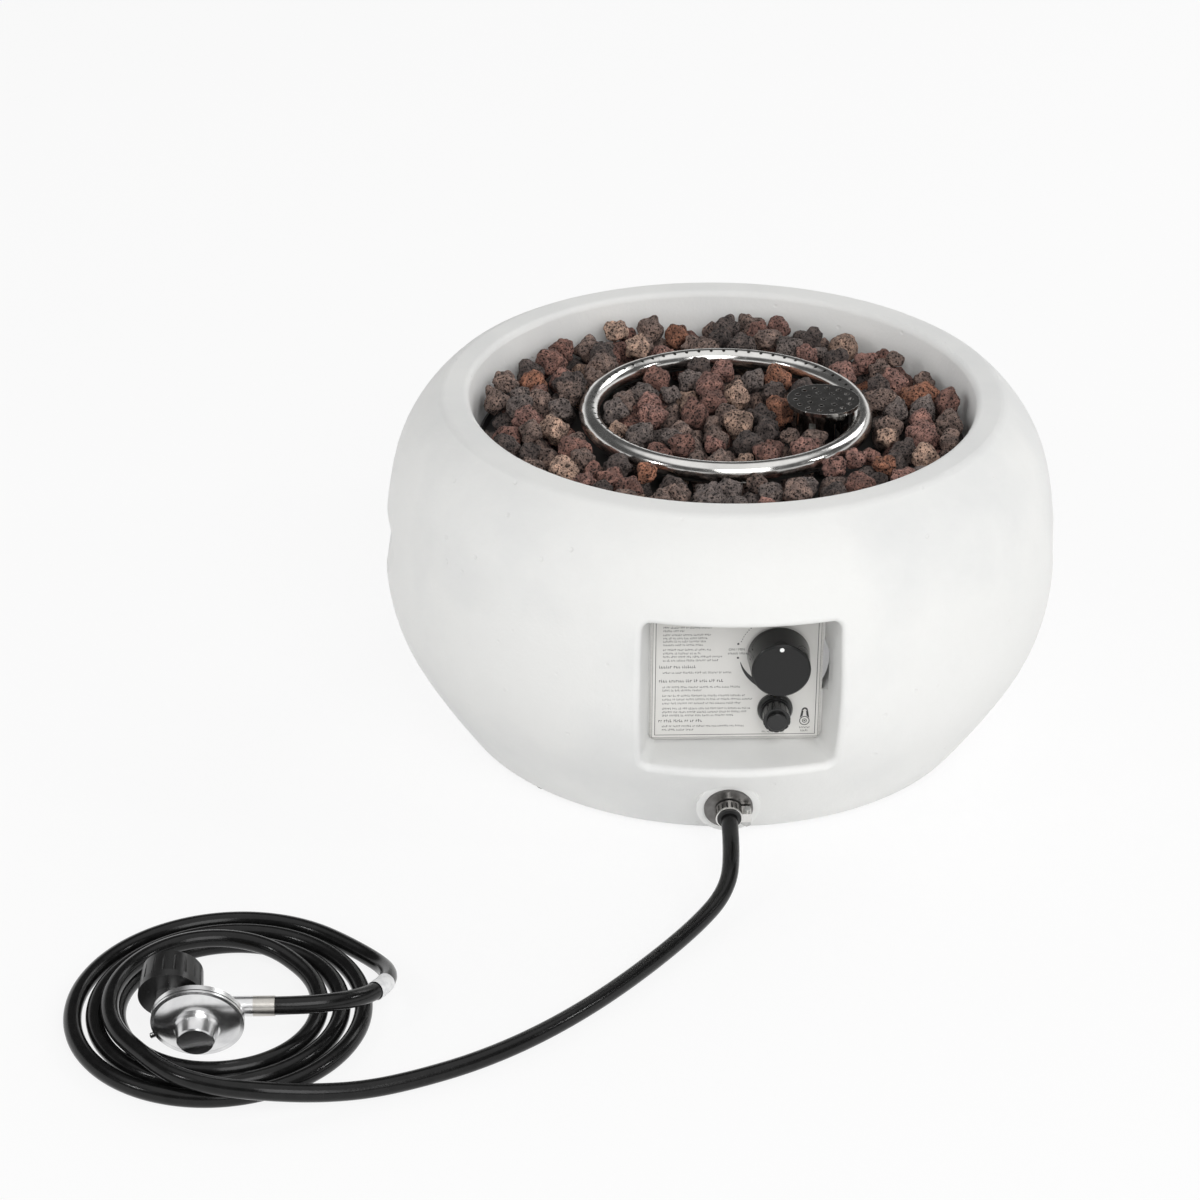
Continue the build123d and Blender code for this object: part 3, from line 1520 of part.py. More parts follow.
def export_all():
    """Writes every piece of the fire pit."""
    inner_rocks, outer_rocks = lava_rocks()
    pieces = {
        "bowl_shell": bowl_shell(),
        "rubber_feet": rubber_feet(),
        "burner_pan": burner_pan(),
        "pan_screws": pan_screws(),
        "burner_ring": burner_ring(),
        "burner_brackets": burner_brackets(),
        "air_mixer": air_mixer(),
        "gas_jet": gas_jet(),
        "supply_tube": supply_tube(),
        "supply_nuts": supply_nuts(),
        "igniter_hood": igniter_hood(),
        "sensor_bracket": sensor_bracket(),
        "electrode_ceramic": electrode_ceramic(),
        "electrode_rod": electrode_rod(),
        "thermocouple": thermocouple(),
        "thermocouple_nut": thermocouple_nut(),
        "capillary": capillary(),
        "ignition_lead": ignition_lead(),
        "control_panel": control_panel(),
        "panel_label": panel_label(),
        "panel_nuts": panel_nuts(),
        "gas_valve": gas_valve(),
        "valve_screws": valve_screws(),
        "stem_seat": stem_seat(),
        "valve_stem": valve_stem(),
        "control_knob": control_knob(),
        "knob_dot": knob_dot(),
        "igniter_barrel": igniter_barrel(),
        "igniter_nut": igniter_nut(),
        "igniter_cap": igniter_cap(),
        "igniter_button": igniter_button(),
        "igniter_terminals": igniter_terminals(),
        "battery": battery(),
        "battery_contact": battery_contact(),
        "hose_flange": hose_flange(),
        "hose_bush": hose_bush(),
        "clamp_band": clamp_band(),
        "clamp_housing": clamp_housing_block(),
        "clamp_screw": clamp_screw(),
        "inlet_elbow": inlet_elbow(),
        "inlet_nut": inlet_nut(),
        "inner_ferrule": inner_ferrule(),
        "hose_inner": hose_inner(),
        "hose_lead": hose_lead(),
        "hose_coil": hose_coil(),
        "hose_tail": hose_tail(),
        "hose_sleeve": hose_sleeve(),
        "hose_ferrule": hose_ferrule(),
        "regulator_body": regulator_body(),
        "regulator_gasket": regulator_gasket(),
        "regulator_cover": regulator_cover(),
        "regulator_cap": regulator_cap(),
        "inlet_nipple": inlet_nipple(),
        "coupling_nut": coupling_nut(),
        "lava_rocks_inner": inner_rocks,
        "lava_rocks_outer": outer_rocks,
    }
    for name, shape in pieces.items():
        export(name, shape)


def print_hose_sizes():
    """Prints the hose's lengths, its bends and the coil's least clear distance."""
    lead, lead_radii = free_path(lead_points())
    tail, tail_radii = free_path(tail_points())
    coil = coil_path()
    print("hose lengths", round(lead.length), round(coil.length), round(tail.length))
    print("lead bends", [round(radius) for radius in lead_radii])
    print("tail bends", [round(radius) for radius in tail_radii])
    print("coil clear distance", round(coil_self_gap(coil), 2))


if __name__ == "__main__":
    export_all()
    print_hose_sizes()
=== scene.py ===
import math
import random

import bmesh
import bpy
import numpy as np
from mathutils import Matrix, Vector, noise


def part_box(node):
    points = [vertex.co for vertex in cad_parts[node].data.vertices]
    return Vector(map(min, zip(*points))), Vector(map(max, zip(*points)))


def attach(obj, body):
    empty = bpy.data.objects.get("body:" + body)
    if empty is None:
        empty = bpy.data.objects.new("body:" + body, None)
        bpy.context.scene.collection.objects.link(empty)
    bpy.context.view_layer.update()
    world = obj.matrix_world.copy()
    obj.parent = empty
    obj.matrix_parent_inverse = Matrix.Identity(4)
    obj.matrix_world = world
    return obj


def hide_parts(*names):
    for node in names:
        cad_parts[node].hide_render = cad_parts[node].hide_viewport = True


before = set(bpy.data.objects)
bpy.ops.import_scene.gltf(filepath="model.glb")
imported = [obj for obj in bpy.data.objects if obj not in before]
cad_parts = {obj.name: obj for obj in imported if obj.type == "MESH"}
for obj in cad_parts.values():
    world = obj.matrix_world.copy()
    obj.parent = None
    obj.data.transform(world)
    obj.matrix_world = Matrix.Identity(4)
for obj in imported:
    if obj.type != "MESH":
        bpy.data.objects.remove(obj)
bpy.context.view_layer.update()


# Cast bowl
# A thick shell of light cast stone, smooth outside and coated off-white, with the control recess,
# the grips and the hose boss moulded in. Air bubbles leave small pits, and the coat pools a little unevenly.
coat_pale = (0.80, 0.80, 0.785)
coat_shade = (0.71, 0.715, 0.71)
pit_bottom = 0.55


def skin(material):
    """The shader of a material's surface."""
    return material.node_tree.nodes["Principled BSDF"]


def finish(name, colour, roughness, metallic=0.0):
    """A new material in one colour."""
    material = bpy.data.materials.new(name)
    material.use_nodes = True
    shader = skin(material)
    shader.inputs["Base Color"].default_value = (*colour, 1)
    shader.inputs["Roughness"].default_value = roughness
    shader.inputs["Metallic"].default_value = metallic
    return material


def grey(level):
    """A neutral colour between black at 0 and white at 1."""
    return (level, level, level)


def add(material, kind, **values):
    """A new node of a material, with the values of its inputs."""
    node = material.node_tree.nodes.new(kind)
    for key, value in values.items():
        node.inputs[key.replace("_", " ")].default_value = value
    return node


def join(material, source, target):
    """Links an output to an input."""
    material.node_tree.links.new(source, target)


def place_of(material):
    """The piece's own coordinates, in metres."""
    return add(material, "ShaderNodeTexCoord").outputs["Object"]


def grain(material, scale, detail=4.0, stretch=None):
    """Noise in the piece's own coordinates, drawn out along an axis where stretch says so."""
    texture = add(material, "ShaderNodeTexNoise", Scale=scale, Detail=detail)
    place = place_of(material)
    if stretch:
        mapping = add(material, "ShaderNodeMapping", Scale=stretch)
        join(material, place, mapping.inputs["Vector"])
        place = mapping.outputs["Vector"]
    join(material, place, texture.inputs["Vector"])
    return texture.outputs["Fac"]


def ramp(material, value, stops):
    """A colour that follows a value, by (position, colour) stops."""
    node = add(material, "ShaderNodeValToRGB")
    elements = node.color_ramp.elements
    for element, (position, colour) in zip(elements, (stops[0], stops[-1])):
        element.position = position
        element.color = (*colour, 1)
    for position, colour in stops[1:-1]:
        elements.new(position).color = (*colour, 1)
    join(material, value, node.inputs["Fac"])
    return node.outputs["Color"]


def tint(material, value, stops):
    """Lets a value choose the material's colour."""
    join(material, ramp(material, value, stops), skin(material).inputs["Base Color"])


def rough(material, value, low, high):
    """Lets a value move the material's roughness between two limits."""
    node = add(material, "ShaderNodeMapRange", To_Min=low, To_Max=high)
    join(material, value, node.inputs["Value"])
    join(material, node.outputs["Result"], skin(material).inputs["Roughness"])


def emboss(material, value, depth, strength):
    """Raises the surface by a value, on top of any relief that it has already."""
    node = add(material, "ShaderNodeBump", Strength=strength, Distance=depth)
    join(material, value, node.inputs["Height"])
    socket = skin(material).inputs["Normal"]
    if socket.is_linked:
        join(material, socket.links[0].from_socket, node.inputs["Normal"])
    join(material, node.outputs["Normal"], socket)


def pits(material, scale, size):
    """Round pits: black in the cells' middles, and white between them."""
    cells = add(material, "ShaderNodeTexVoronoi", Scale=scale)
    join(material, place_of(material), cells.inputs["Vector"])
    return ramp(material, cells.outputs["Distance"], [(pit_bottom * size, grey(0)), (size, grey(1))])


def dress(material, *names):
    """Gives a material to CAD nodes."""
    for name in names:
        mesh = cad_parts[name].data
        mesh.materials.clear()
        mesh.materials.append(material)


cast_coat = finish("cast_coat", coat_pale, 0.62)
tint(cast_coat, grain(cast_coat, 7, 5), [(0.3, coat_shade), (0.55, coat_pale), (1.0, coat_pale)])
rough(cast_coat, grain(cast_coat, 30), 0.5, 0.72)
emboss(cast_coat, grain(cast_coat, 14, 3), 0.004, 0.25)
emboss(cast_coat, grain(cast_coat, 70, 5), 0.0012, 0.35)
emboss(cast_coat, grain(cast_coat, 420, 3), 0.0004, 0.5)
emboss(cast_coat, pits(cast_coat, 45, 0.09), 0.0006, 0.6)
dress(cast_coat, "bowl_shell")


# Rubber feet
# Four round pads of black rubber, moulded with a dull skin and glued into pockets of the base ring.
foot_rubber = finish("foot_rubber", grey(0.03), 0.85)
tint(foot_rubber, grain(foot_rubber, 300), [(0.3, grey(0.02)), (0.8, grey(0.05))])
emboss(foot_rubber, grain(foot_rubber, 900), 0.0002, 0.4)
dress(foot_rubber, "rubber_feet")


# Burner pan and its screws
# A pressed steel pan in heat-resistant black paint, held down on the casting's ledge by zinc-plated screws.
pan_paint = finish("pan_paint", grey(0.03), 0.7)
tint(pan_paint, grain(pan_paint, 60), [(0.3, grey(0.02)), (0.8, (0.06, 0.055, 0.05))])
emboss(pan_paint, grain(pan_paint, 700), 0.0003, 0.4)
dress(pan_paint, "burner_pan")

plated = finish("plated_steel", grey(0.55), 0.35, 1.0)
tint(plated, grain(plated, 250), [(0.3, (0.42, 0.42, 0.41)), (0.75, (0.64, 0.64, 0.63))])
rough(plated, grain(plated, 500), 0.25, 0.5)
emboss(plated, grain(plated, 1200), 0.00008, 0.3)
dress(plated, "pan_screws")


# Ring burner
# Stainless tube rolled to a ring, welded and polished, with gas ports drilled along its top.
# Three sheet brackets carry it, and a welded stub takes the gas in at the back.
stainless = finish("polished_stainless", (0.72, 0.71, 0.69), 0.16, 1.0)
tint(stainless, grain(stainless, 40),
     [(0.3, (0.62, 0.61, 0.59)), (0.6, (0.76, 0.75, 0.73)), (0.9, (0.70, 0.68, 0.64))])
rough(stainless, grain(stainless, 260, 6), 0.08, 0.24)
emboss(stainless, grain(stainless, 900, 2), 0.00004, 0.25)
dress(stainless, "burner_ring", "burner_brackets")


# Gas fittings under the pan
# A brass jet and brass nuts, a plated air mixer, an aluminium tube bent by hand, and a die-cast valve with
# a dull grey skin. The flame sensor and the thin line from it to the valve are copper.
brass = finish("brass", (0.75, 0.55, 0.25), 0.3, 1.0)
tint(brass, grain(brass, 180), [(0.3, (0.60, 0.42, 0.17)), (0.7, (0.80, 0.61, 0.30))])
rough(brass, grain(brass, 420), 0.22, 0.42)
emboss(brass, grain(brass, 900), 0.00006, 0.3)
dress(brass, "gas_jet", "supply_nuts", "thermocouple_nut", "valve_stem", "inlet_elbow", "inlet_nut")

drawn_alloy = finish("drawn_aluminium", grey(0.66), 0.38, 1.0)
tint(drawn_alloy, grain(drawn_alloy, 90), [(0.3, grey(0.52)), (0.7, grey(0.72))])
rough(drawn_alloy, grain(drawn_alloy, 350), 0.3, 0.5)
emboss(drawn_alloy, grain(drawn_alloy, 800), 0.0001, 0.3)
dress(drawn_alloy, "supply_tube", "gas_valve")

copper = finish("copper", (0.72, 0.36, 0.22), 0.35, 1.0)
tint(copper, grain(copper, 200), [(0.3, (0.52, 0.24, 0.14)), (0.7, (0.78, 0.42, 0.27))])
rough(copper, grain(copper, 500), 0.25, 0.45)
dress(copper, "thermocouple", "capillary")
dress(plated, "air_mixer", "sensor_bracket", "valve_screws", "stem_seat", "inner_ferrule")


# Igniter hood and its spark rod
# A punched stainless cover on a slotted tube, darkened by heat, whose rounded edges catch the light.
# Under it a glazed ceramic sleeve holds the spark rod.
hood_edge = 0.0007
hood_steel = finish("dark_hood_steel", (0.32, 0.31, 0.30), 0.15, 1.0)
tint(hood_steel, grain(hood_steel, 70), [(0.3, (0.24, 0.23, 0.22)), (0.75, (0.40, 0.39, 0.38))])
rough(hood_steel, grain(hood_steel, 300), 0.08, 0.16)
rounded = add(hood_steel, "ShaderNodeBevel", Radius=hood_edge)
join(hood_steel, rounded.outputs["Normal"], skin(hood_steel).inputs["Normal"])
dress(hood_steel, "igniter_hood")

glaze = finish("ceramic_glaze", (0.82, 0.80, 0.74), 0.15)
tint(glaze, grain(glaze, 150), [(0.3, (0.74, 0.71, 0.64)), (0.7, (0.85, 0.83, 0.78))])
rough(glaze, grain(glaze, 400), 0.1, 0.22)
dress(glaze, "electrode_ceramic")
dress(stainless, "electrode_rod")


# Lava rocks
# Broken volcanic stone, tumbled until its corners are rounded and full of gas bubbles. Most of it is grey or
# brown, some is dull red, and a little is tan or rust. It lies loose on the pan, inside and outside the ring.
rock_tones = {
    "ash grey": (0.158, 0.129, 0.119), "dark grey": (0.090, 0.070, 0.064),
    "grey brown": (0.205, 0.146, 0.124), "red brown": (0.210, 0.111, 0.090),
    "dusty red": (0.265, 0.144, 0.120), "tan": (0.390, 0.265, 0.205), "rust": (0.300, 0.136, 0.085),
}
rock_tone_weights = [6, 6, 8, 5, 3, 1.5, 1]
rock_tone_spread = (0.85, 1.2)
rock_seeds = (0, 100)
rock_drift = (1.7, 0.9, 0.4)
rock_edge_softness = 8
same_corner = 2e-6
swell_size, swell_scale, swell_sink = 0.22, 1.5, 0.35
lump_size, lump_scale, lump_sink = 0.0012, 210, 0.3
small_lump_share, small_lump_scale = 0.6, 430
bubble_depth, bubble_scale, bubble_reach = 0.0018, 230, 0.4
coarse, fine = 3, 4
fine_above = 0.232
most_stones = 60


def rock_faces(name):
    """Each rock of a CAD node as its middle and its flats: their directions and depths."""
    shape = bmesh.new()
    shape.from_mesh(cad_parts[name].data)
    bmesh.ops.remove_doubles(shape, verts=shape.verts, dist=same_corner)
    left = set(shape.verts)
    rocks = []
    while left:
        found = [left.pop()]
        faces = set()
        for vertex in found:
            faces.update(vertex.link_faces)
            for edge in vertex.link_edges:
                other = edge.other_vert(vertex)
                if other in left:
                    left.remove(other)
                    found.append(other)
        corners = np.array([vertex.co for vertex in found])
        centre = corners.mean(axis=0)
        flats = {}
        for face in faces:
            depth = (np.array(face.verts[0].co) - centre) @ np.array(face.normal)
            flats[tuple(round(part, 2) for part in face.normal)] = (*face.normal, depth)
        rocks.append((centre, np.array([flats[key] for key in sorted(flats)])))
    shape.free()
    rocks.sort(key=lambda rock: tuple(rock[0].round(5)))
    return rocks


def rock_surface(flats, directions, seed):
    """How far the rock reaches along each direction: its flats, with soft edges, lumps and bubbles."""
    share = np.clip(directions @ flats[:, :3].T, 0, None) / flats[:, 3]
    reach = (share ** rock_edge_softness).sum(axis=1) ** (-1 / rock_edge_softness)
    shift = Vector([seed * part for part in rock_drift])
    for index, direction in enumerate(directions):
        spot = Vector(direction * reach[index])
        swell = noise.noise(Vector(direction) * swell_scale + shift) - swell_sink
        small_lump = small_lump_share * noise.noise(spot * small_lump_scale + shift)
        lump = noise.noise(spot * lump_scale + shift) + small_lump - lump_sink
        near = noise.voronoi(spot * bubble_scale + shift)[0][0]
        bubble = max(0.0, bubble_reach - near) / bubble_reach
        reach[index] += reach[index] * swell_size * swell + lump_size * lump - bubble_depth * bubble * bubble
    return reach


def put(name, data):
    """A new object in the scene, from its mesh, curve, lamp or lens."""
    piece = bpy.data.objects.new(name, data)
    bpy.context.scene.collection.objects.link(piece)
    return piece


def rock_bed(name, rocks, source):
    """A new object with some rocks of a CAD node, rounded and pitted, finer on top, and a tone for each."""
    balls = {}
    for fineness in (coarse, fine):
        ball = bmesh.new()
        bmesh.ops.create_icosphere(ball, subdivisions=fineness, radius=1.0)
        balls[fineness] = (np.array([vertex.co for vertex in ball.verts]),
                           np.array([[vertex.index for vertex in face.verts] for face in ball.faces]))
        ball.free()
    vertices, faces, tones = [], [], []
    count = 0
    for centre, flats in rocks:
        directions, triangles = balls[fine if centre[2] > fine_above else coarse]
        reach = rock_surface(flats, directions, source.uniform(*rock_seeds))
        faces.append(triangles + count)
        vertices.append(centre + directions * reach[:, None])
        count += len(directions)
        tone = np.array(source.choices(list(rock_tones.values()), rock_tone_weights)[0])
        tone = np.append(tone * source.uniform(*rock_tone_spread), 1.0)
        tones.append(np.tile(tone, (len(directions), 1)))
    mesh = bpy.data.meshes.new(name)
    mesh.from_pydata(np.concatenate(vertices).tolist(), [], np.concatenate(faces).tolist())
    mesh.color_attributes.new("stone_tone", "FLOAT_COLOR", "POINT")
    mesh.color_attributes["stone_tone"].data.foreach_set("color", np.concatenate(tones).ravel())
    mesh.shade_smooth()
    return put(name, mesh)


lava = finish("lava_stone", (0.1, 0.06, 0.05), 0.92)
own_tone = add(lava, "ShaderNodeAttribute")
own_tone.attribute_name = "stone_tone"
mottle = ramp(lava, grain(lava, 160, 8), [(0.3, grey(0.5)), (0.5, grey(1)), (0.72, (1.8, 1.72, 1.64))])
vesicles = pits(lava, 400, 0.40)
pinholes = pits(lava, 800, 0.46)
stone_colour = own_tone.outputs["Color"]
# Each layer multiplies the stone's colour. The mottle is a random lighter and darker tone, and the vesicles
# and pinholes darken the colour towards their middles, as painted shade inside the gas holes.
for layer, depth in ((mottle, 1.0), (vesicles, 0.85), (pinholes, 0.7)):
    mottle_and_pit_shade = add(lava, "ShaderNodeMix")
    mottle_and_pit_shade.data_type = "RGBA"
    mottle_and_pit_shade.blend_type = "MULTIPLY"
    mottle_and_pit_shade.inputs["Factor"].default_value = depth
    join(lava, stone_colour, mottle_and_pit_shade.inputs["A"])
    join(lava, layer, mottle_and_pit_shade.inputs["B"])
    stone_colour = mottle_and_pit_shade.outputs["Result"]
join(lava, stone_colour, skin(lava).inputs["Base Color"])
emboss(lava, grain(lava, 320, 6), 0.0020, 0.8)
emboss(lava, vesicles, 0.0012, 0.9)
emboss(lava, pinholes, 0.0006, 0.7)
stone_source = random.Random(4)
for node in ("lava_rocks_inner", "lava_rocks_outer"):
    rocks = rock_faces(node)
    groups = math.ceil(len(rocks) / most_stones)
    for group in range(groups):
        stones = rock_bed(f"{node}_stones_{group + 1}", rocks[group::groups], stone_source)
        stones.data.materials.append(lava)
        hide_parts(node)
        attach(stones, "fire_pit")


# Control panel and its printed face
# A light steel plate with a printed foil: a double border, lines of small print, dial marks round the knob
# and a battery sign. The print is a thin layer of dark ink.
panel_steel = finish("panel_steel", (0.60, 0.59, 0.57), 0.4, 0.6)
tint(panel_steel, grain(panel_steel, 60, 4, (1, 1, 30)),
     [(0.3, (0.52, 0.51, 0.49)), (0.7, (0.66, 0.65, 0.63))])
rough(panel_steel, grain(panel_steel, 300, 4, (1, 1, 20)), 0.3, 0.5)
dress(panel_steel, "control_panel")
dress(plated, "panel_nuts")

foil = finish("label_foil", (0.70, 0.69, 0.665), 0.42)
tint(foil, grain(foil, 25), [(0.3, (0.67, 0.66, 0.635)), (0.7, (0.73, 0.72, 0.695))])
rough(foil, grain(foil, 600), 0.36, 0.5)
emboss(foil, grain(foil, 2000, 2), 0.00003, 0.2)
dress(foil, "panel_label")

label_low, label_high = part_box("panel_label")
knob_low, knob_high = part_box("control_knob")
knob_x = (knob_low.x + knob_high.x) / 2
knob_z = (knob_low.z + knob_high.z) / 2
ink_lift = 0.00004
ink_face = label_low.y - ink_lift
ink_shape = bmesh.new()
word_letters = (2, 7)

# Letters too fine to read: widths of stem and bar as shares of the letter's, the rest of the line's height.
letter_widths = (0.4, 0.65)
letter_heights = (0.75, 0.75, 1.0)
stem_width, bar_width, bar_height = 0.32, 0.5, 0.24
bar_rises = (0.0, 0.52)
letter_gap, word_gap = 0.14, 0.45


def ink(corners):
    """One printed patch, from its (x, z) corners."""
    ink_shape.faces.new([ink_shape.verts.new((x, ink_face, z)) for x, z in corners])


def ink_bar(x, z, width, height):
    """A printed bar whose lower left corner is given."""
    ink([(x, z), (x + width, z), (x + width, z + height), (x, z + height)])


def ink_frame(inset, width):
    """A printed line round the label, a given way in from its edge."""
    left, right = label_low.x + inset, label_high.x - inset
    low, high = label_low.z + inset, label_high.z - inset
    ink_bar(left, low, right - left, width)
    ink_bar(left, high - width, right - left, width)
    ink_bar(left, low + width, width, high - low - 2 * width)
    ink_bar(right - width, low + width, width, high - low - 2 * width)


def ink_disc(x, z, radius, sides=16):
    """A printed dot."""
    ink([(x + radius * math.cos(turn), z + radius * math.sin(turn))
         for turn in [2 * math.pi * side / sides for side in range(sides)]])


def ink_arc(x, z, start, end, inner, outer, steps=20):
    """A printed arc whose inner and outer radii may change along it, by (start, end) pairs."""
    for step in range(steps):
        corners = []
        for share, radii in ((step, inner), (step + 1, inner), (step + 1, outer), (step, outer)):
            part = share / steps
            turn = math.radians(start + (end - start) * part)
            radius = radii[0] + (radii[1] - radii[0]) * part
            corners.append((x + radius * math.cos(turn), z + radius * math.sin(turn)))
        ink(corners)


def ink_line(left, right, middle, height, source):
    """A line of small print: letters in groups, too fine to read, by its ends and its middle height."""
    at = left
    low = middle - height / 2
    while at < right:
        for letter in range(source.randint(*word_letters)):
            width = height * source.uniform(*letter_widths)
            tall = height * source.choice(letter_heights)
            ink_bar(at, low, width * stem_width, tall)
            rise = source.choice(bar_rises) * height
            ink_bar(at + width * stem_width, low + rise, width * bar_width, height * bar_height)
            at += width + height * letter_gap
        at += height * word_gap


ink_frame(0.0004, 0.00025)
ink_frame(0.0024, 0.0004)

# Each line of print by its middle height and its right end.
print_source = random.Random(2)
heading_left, print_left = -0.0546, -0.0520
heading_height, print_height = 0.0023, 0.0016
headings = {0.1738: -0.0180, 0.1376: -0.0294, 0.1262: -0.0105, 0.0935: -0.0254}
print_lines = {
    0.1691: -0.0190, 0.1665: -0.0400, 0.1633: -0.0210, 0.1606: -0.0200, 0.1581: -0.0230, 0.1553: -0.0250,
    0.1514: -0.0210, 0.1485: -0.0250, 0.1457: -0.0110, 0.1428: -0.0150, 0.1329: -0.0080, 0.1211: 0.0015,
    0.1185: -0.0290, 0.1141: 0.0055, 0.1111: 0.0120, 0.1079: 0.0020, 0.1036: 0.0095, 0.1007: 0.0084,
    0.0979: -0.0014, 0.0891: 0.0004, 0.0862: -0.0305,
}
for middle, right in headings.items():
    ink_line(heading_left, right, middle, heading_height, print_source)
for middle, right in print_lines.items():
    ink_line(print_left, right, middle, print_height, print_source)

# A row of dots and a widening arc round the knob, and two dots at the dial's words.
dial_radius = 0.0274
dial_dots, dial_dot_radius = 16, 0.00042
dial_start, dial_step = 96, 4.4
for step in range(dial_dots):
    turn = math.radians(dial_start + dial_step * step)
    ink_disc(knob_x + dial_radius * math.cos(turn), knob_z + dial_radius * math.sin(turn), dial_dot_radius, 8)
word_dot_x, word_dot_radius = 0.0008, 0.0008
for word_dot_z in (0.1556, 0.1444):
    ink_disc(word_dot_x, word_dot_z, word_dot_radius)
arc_start, arc_end = 197, 265
ink_arc(knob_x, knob_z, arc_start, arc_end, (dial_radius, 0.0262), (0.0278, 0.0325))

# A battery sign: two rings round a dot, two sides that lean in, and a round top.
battery_x, battery_z = 0.0496, 0.0925
for inner, outer, steps in ((0.0031, 0.0037, 28), (0.0012, 0.0017, 20)):
    ink_arc(battery_x, battery_z, 0, 360, (inner, inner), (outer, outer), steps)
battery_dot_radius = 0.0006
ink_disc(battery_x, battery_z, battery_dot_radius, 10)
battery_side = [(0.0034, 0.0022), (0.0014, 0.0040), (0.0009, 0.0080), (0.0022, 0.0090)]
for side in (-1, 1):
    ink([(battery_x + side * x, battery_z + z) for x, z in battery_side])
battery_top = 0.0087
ink_arc(battery_x, battery_z + battery_top, 0, 180, (0.0009, 0.0009), (0.0022, 0.0022), 12)

# Notes by the battery sign, at the foil's foot and by the knob: their ends, middle height and height.
notes = [
    (battery_x - 0.0034, battery_x + 0.0030, battery_z - 0.0054, 0.0016),
    (battery_x - 0.0024, battery_x + 0.0020, battery_z - 0.0080, 0.0016),
    (0.0195, 0.0345, 0.0838, 0.0015),
    (-0.0062, 0.0050, 0.1482, 0.0018),
]
for left, right, middle, height in notes:
    ink_line(left, right, middle, height, print_source)

bmesh.ops.recalc_face_normals(ink_shape, faces=ink_shape.faces)
ink_mesh = bpy.data.meshes.new("panel_print")
ink_shape.to_mesh(ink_mesh)
ink_shape.free()
panel_print = put("panel_print", ink_mesh)
print_ink = finish("print_ink", grey(0.03), 0.5)
tint(print_ink, grain(print_ink, 800), [(0.3, grey(0.02)), (0.8, grey(0.05))])
ink_mesh.materials.append(print_ink)
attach(panel_print, "fire_pit")


# Dial words
# The switch words beside the knob, in plain letters, printed in the same ink as the rest of the foil.
dial_words_place = (-0.0002, ink_face, 0.1503)
letters = bpy.data.curves.new("dial_words", "FONT")
letters.body = "ON / MIN"
letters.size = 0.0027
letters.align_x = "CENTER"
dial_words = put("dial_words", letters)
dial_words.matrix_world = Matrix.Translation(dial_words_place) @ Matrix.Rotation(math.pi / 2, 4, "X")
letters.materials.append(print_ink)
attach(dial_words, "fire_pit")


# Control knob
# A hollow black moulding, glossy round its side and finely textured on its face.
# A white dot is pressed into the face.
face_depth = 0.0012
face_blend = 0.0002
face_plane = knob_low.y + face_depth
knob_plastic = finish("knob_plastic", grey(0.006), 0.12)
skin(knob_plastic).inputs["Specular IOR Level"].default_value = 0.35
knob_place = add(knob_plastic, "ShaderNodeSeparateXYZ")
join(knob_plastic, place_of(knob_plastic), knob_place.inputs["Vector"])
on_face = add(knob_plastic, "ShaderNodeMapRange",
              From_Min=face_plane + face_blend, From_Max=face_plane - face_blend)
join(knob_plastic, knob_place.outputs["Y"], on_face.inputs["Value"])
tint(knob_plastic, on_face.outputs["Result"], [(0.0, grey(0.006)), (1.0, grey(0.010))])
rough(knob_plastic, on_face.outputs["Result"], 0.08, 0.42)
emboss(knob_plastic, grain(knob_plastic, 1500, 2), 0.00004, 0.3)
dress(knob_plastic, "control_knob")

dot_paint = finish("dot_white", (0.86, 0.86, 0.85), 0.3)
tint(dot_paint, grain(dot_paint, 900), [(0.3, (0.80, 0.80, 0.79)), (0.7, (0.88, 0.88, 0.87))])
dress(dot_paint, "knob_dot")


# Battery igniter
# Black moulded barrel, nut, fluted cap and push button, with brass terminals and a plain dark cell inside.
# A red silicone lead runs from it to the spark rod.
gloss_black = finish("gloss_black", grey(0.012), 0.15)
rough(gloss_black, grain(gloss_black, 400), 0.10, 0.25)
emboss(gloss_black, grain(gloss_black, 900, 2), 0.00005, 0.25)
dress(gloss_black, "igniter_nut", "igniter_cap", "igniter_button")

matt_black = finish("matt_black", grey(0.02), 0.5)
tint(matt_black, grain(matt_black, 200), [(0.3, grey(0.014)), (0.8, grey(0.03))])
rough(matt_black, grain(matt_black, 350), 0.4, 0.62)
emboss(matt_black, grain(matt_black, 1100), 0.0001, 0.3)
dress(matt_black, "igniter_barrel")

cell_wrap = finish("cell_wrap", (0.14, 0.16, 0.19), 0.3)
tint(cell_wrap, grain(cell_wrap, 120), [(0.3, (0.11, 0.13, 0.16)), (0.8, (0.17, 0.19, 0.22))])
dress(cell_wrap, "battery")
dress(brass, "igniter_terminals")
dress(plated, "battery_contact")

lead_skin = finish("lead_silicone", (0.42, 0.04, 0.03), 0.45)
tint(lead_skin, grain(lead_skin, 300), [(0.3, (0.34, 0.03, 0.025)), (0.8, (0.46, 0.06, 0.045))])


def soft_line(name, route, radius, material):
    """A smooth round line with the route's points as its control points."""
    curve = bpy.data.curves.new(name, "CURVE")
    curve.dimensions = "3D"
    curve.bevel_depth = radius
    curve.bevel_resolution = 6
    curve.use_fill_caps = True
    spline = curve.splines.new("NURBS")
    spline.points.add(len(route) - 1)
    for point, place in zip(spline.points, route):
        point.co = (*place, 1)
    spline.order_u = 3
    spline.use_endpoint_u = True
    spline.resolution_u = 8
    curve.materials.append(material)
    return put(name, curve)


spark_lead_radius = 0.0014
spark_lead_route = [
    (0.068, -0.009, 0.184), (0.068, -0.009, 0.158), (0.066, -0.011, 0.134), (0.056, -0.032, 0.122),
    (0.043, -0.060, 0.110), (0.034, -0.083, 0.103), (0.0332, -0.104, 0.103), (0.0332, -0.1258, 0.103),
]
spark_lead = soft_line("spark_lead", spark_lead_route, spark_lead_radius, lead_skin)
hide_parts("ignition_lead")
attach(spark_lead, "fire_pit")


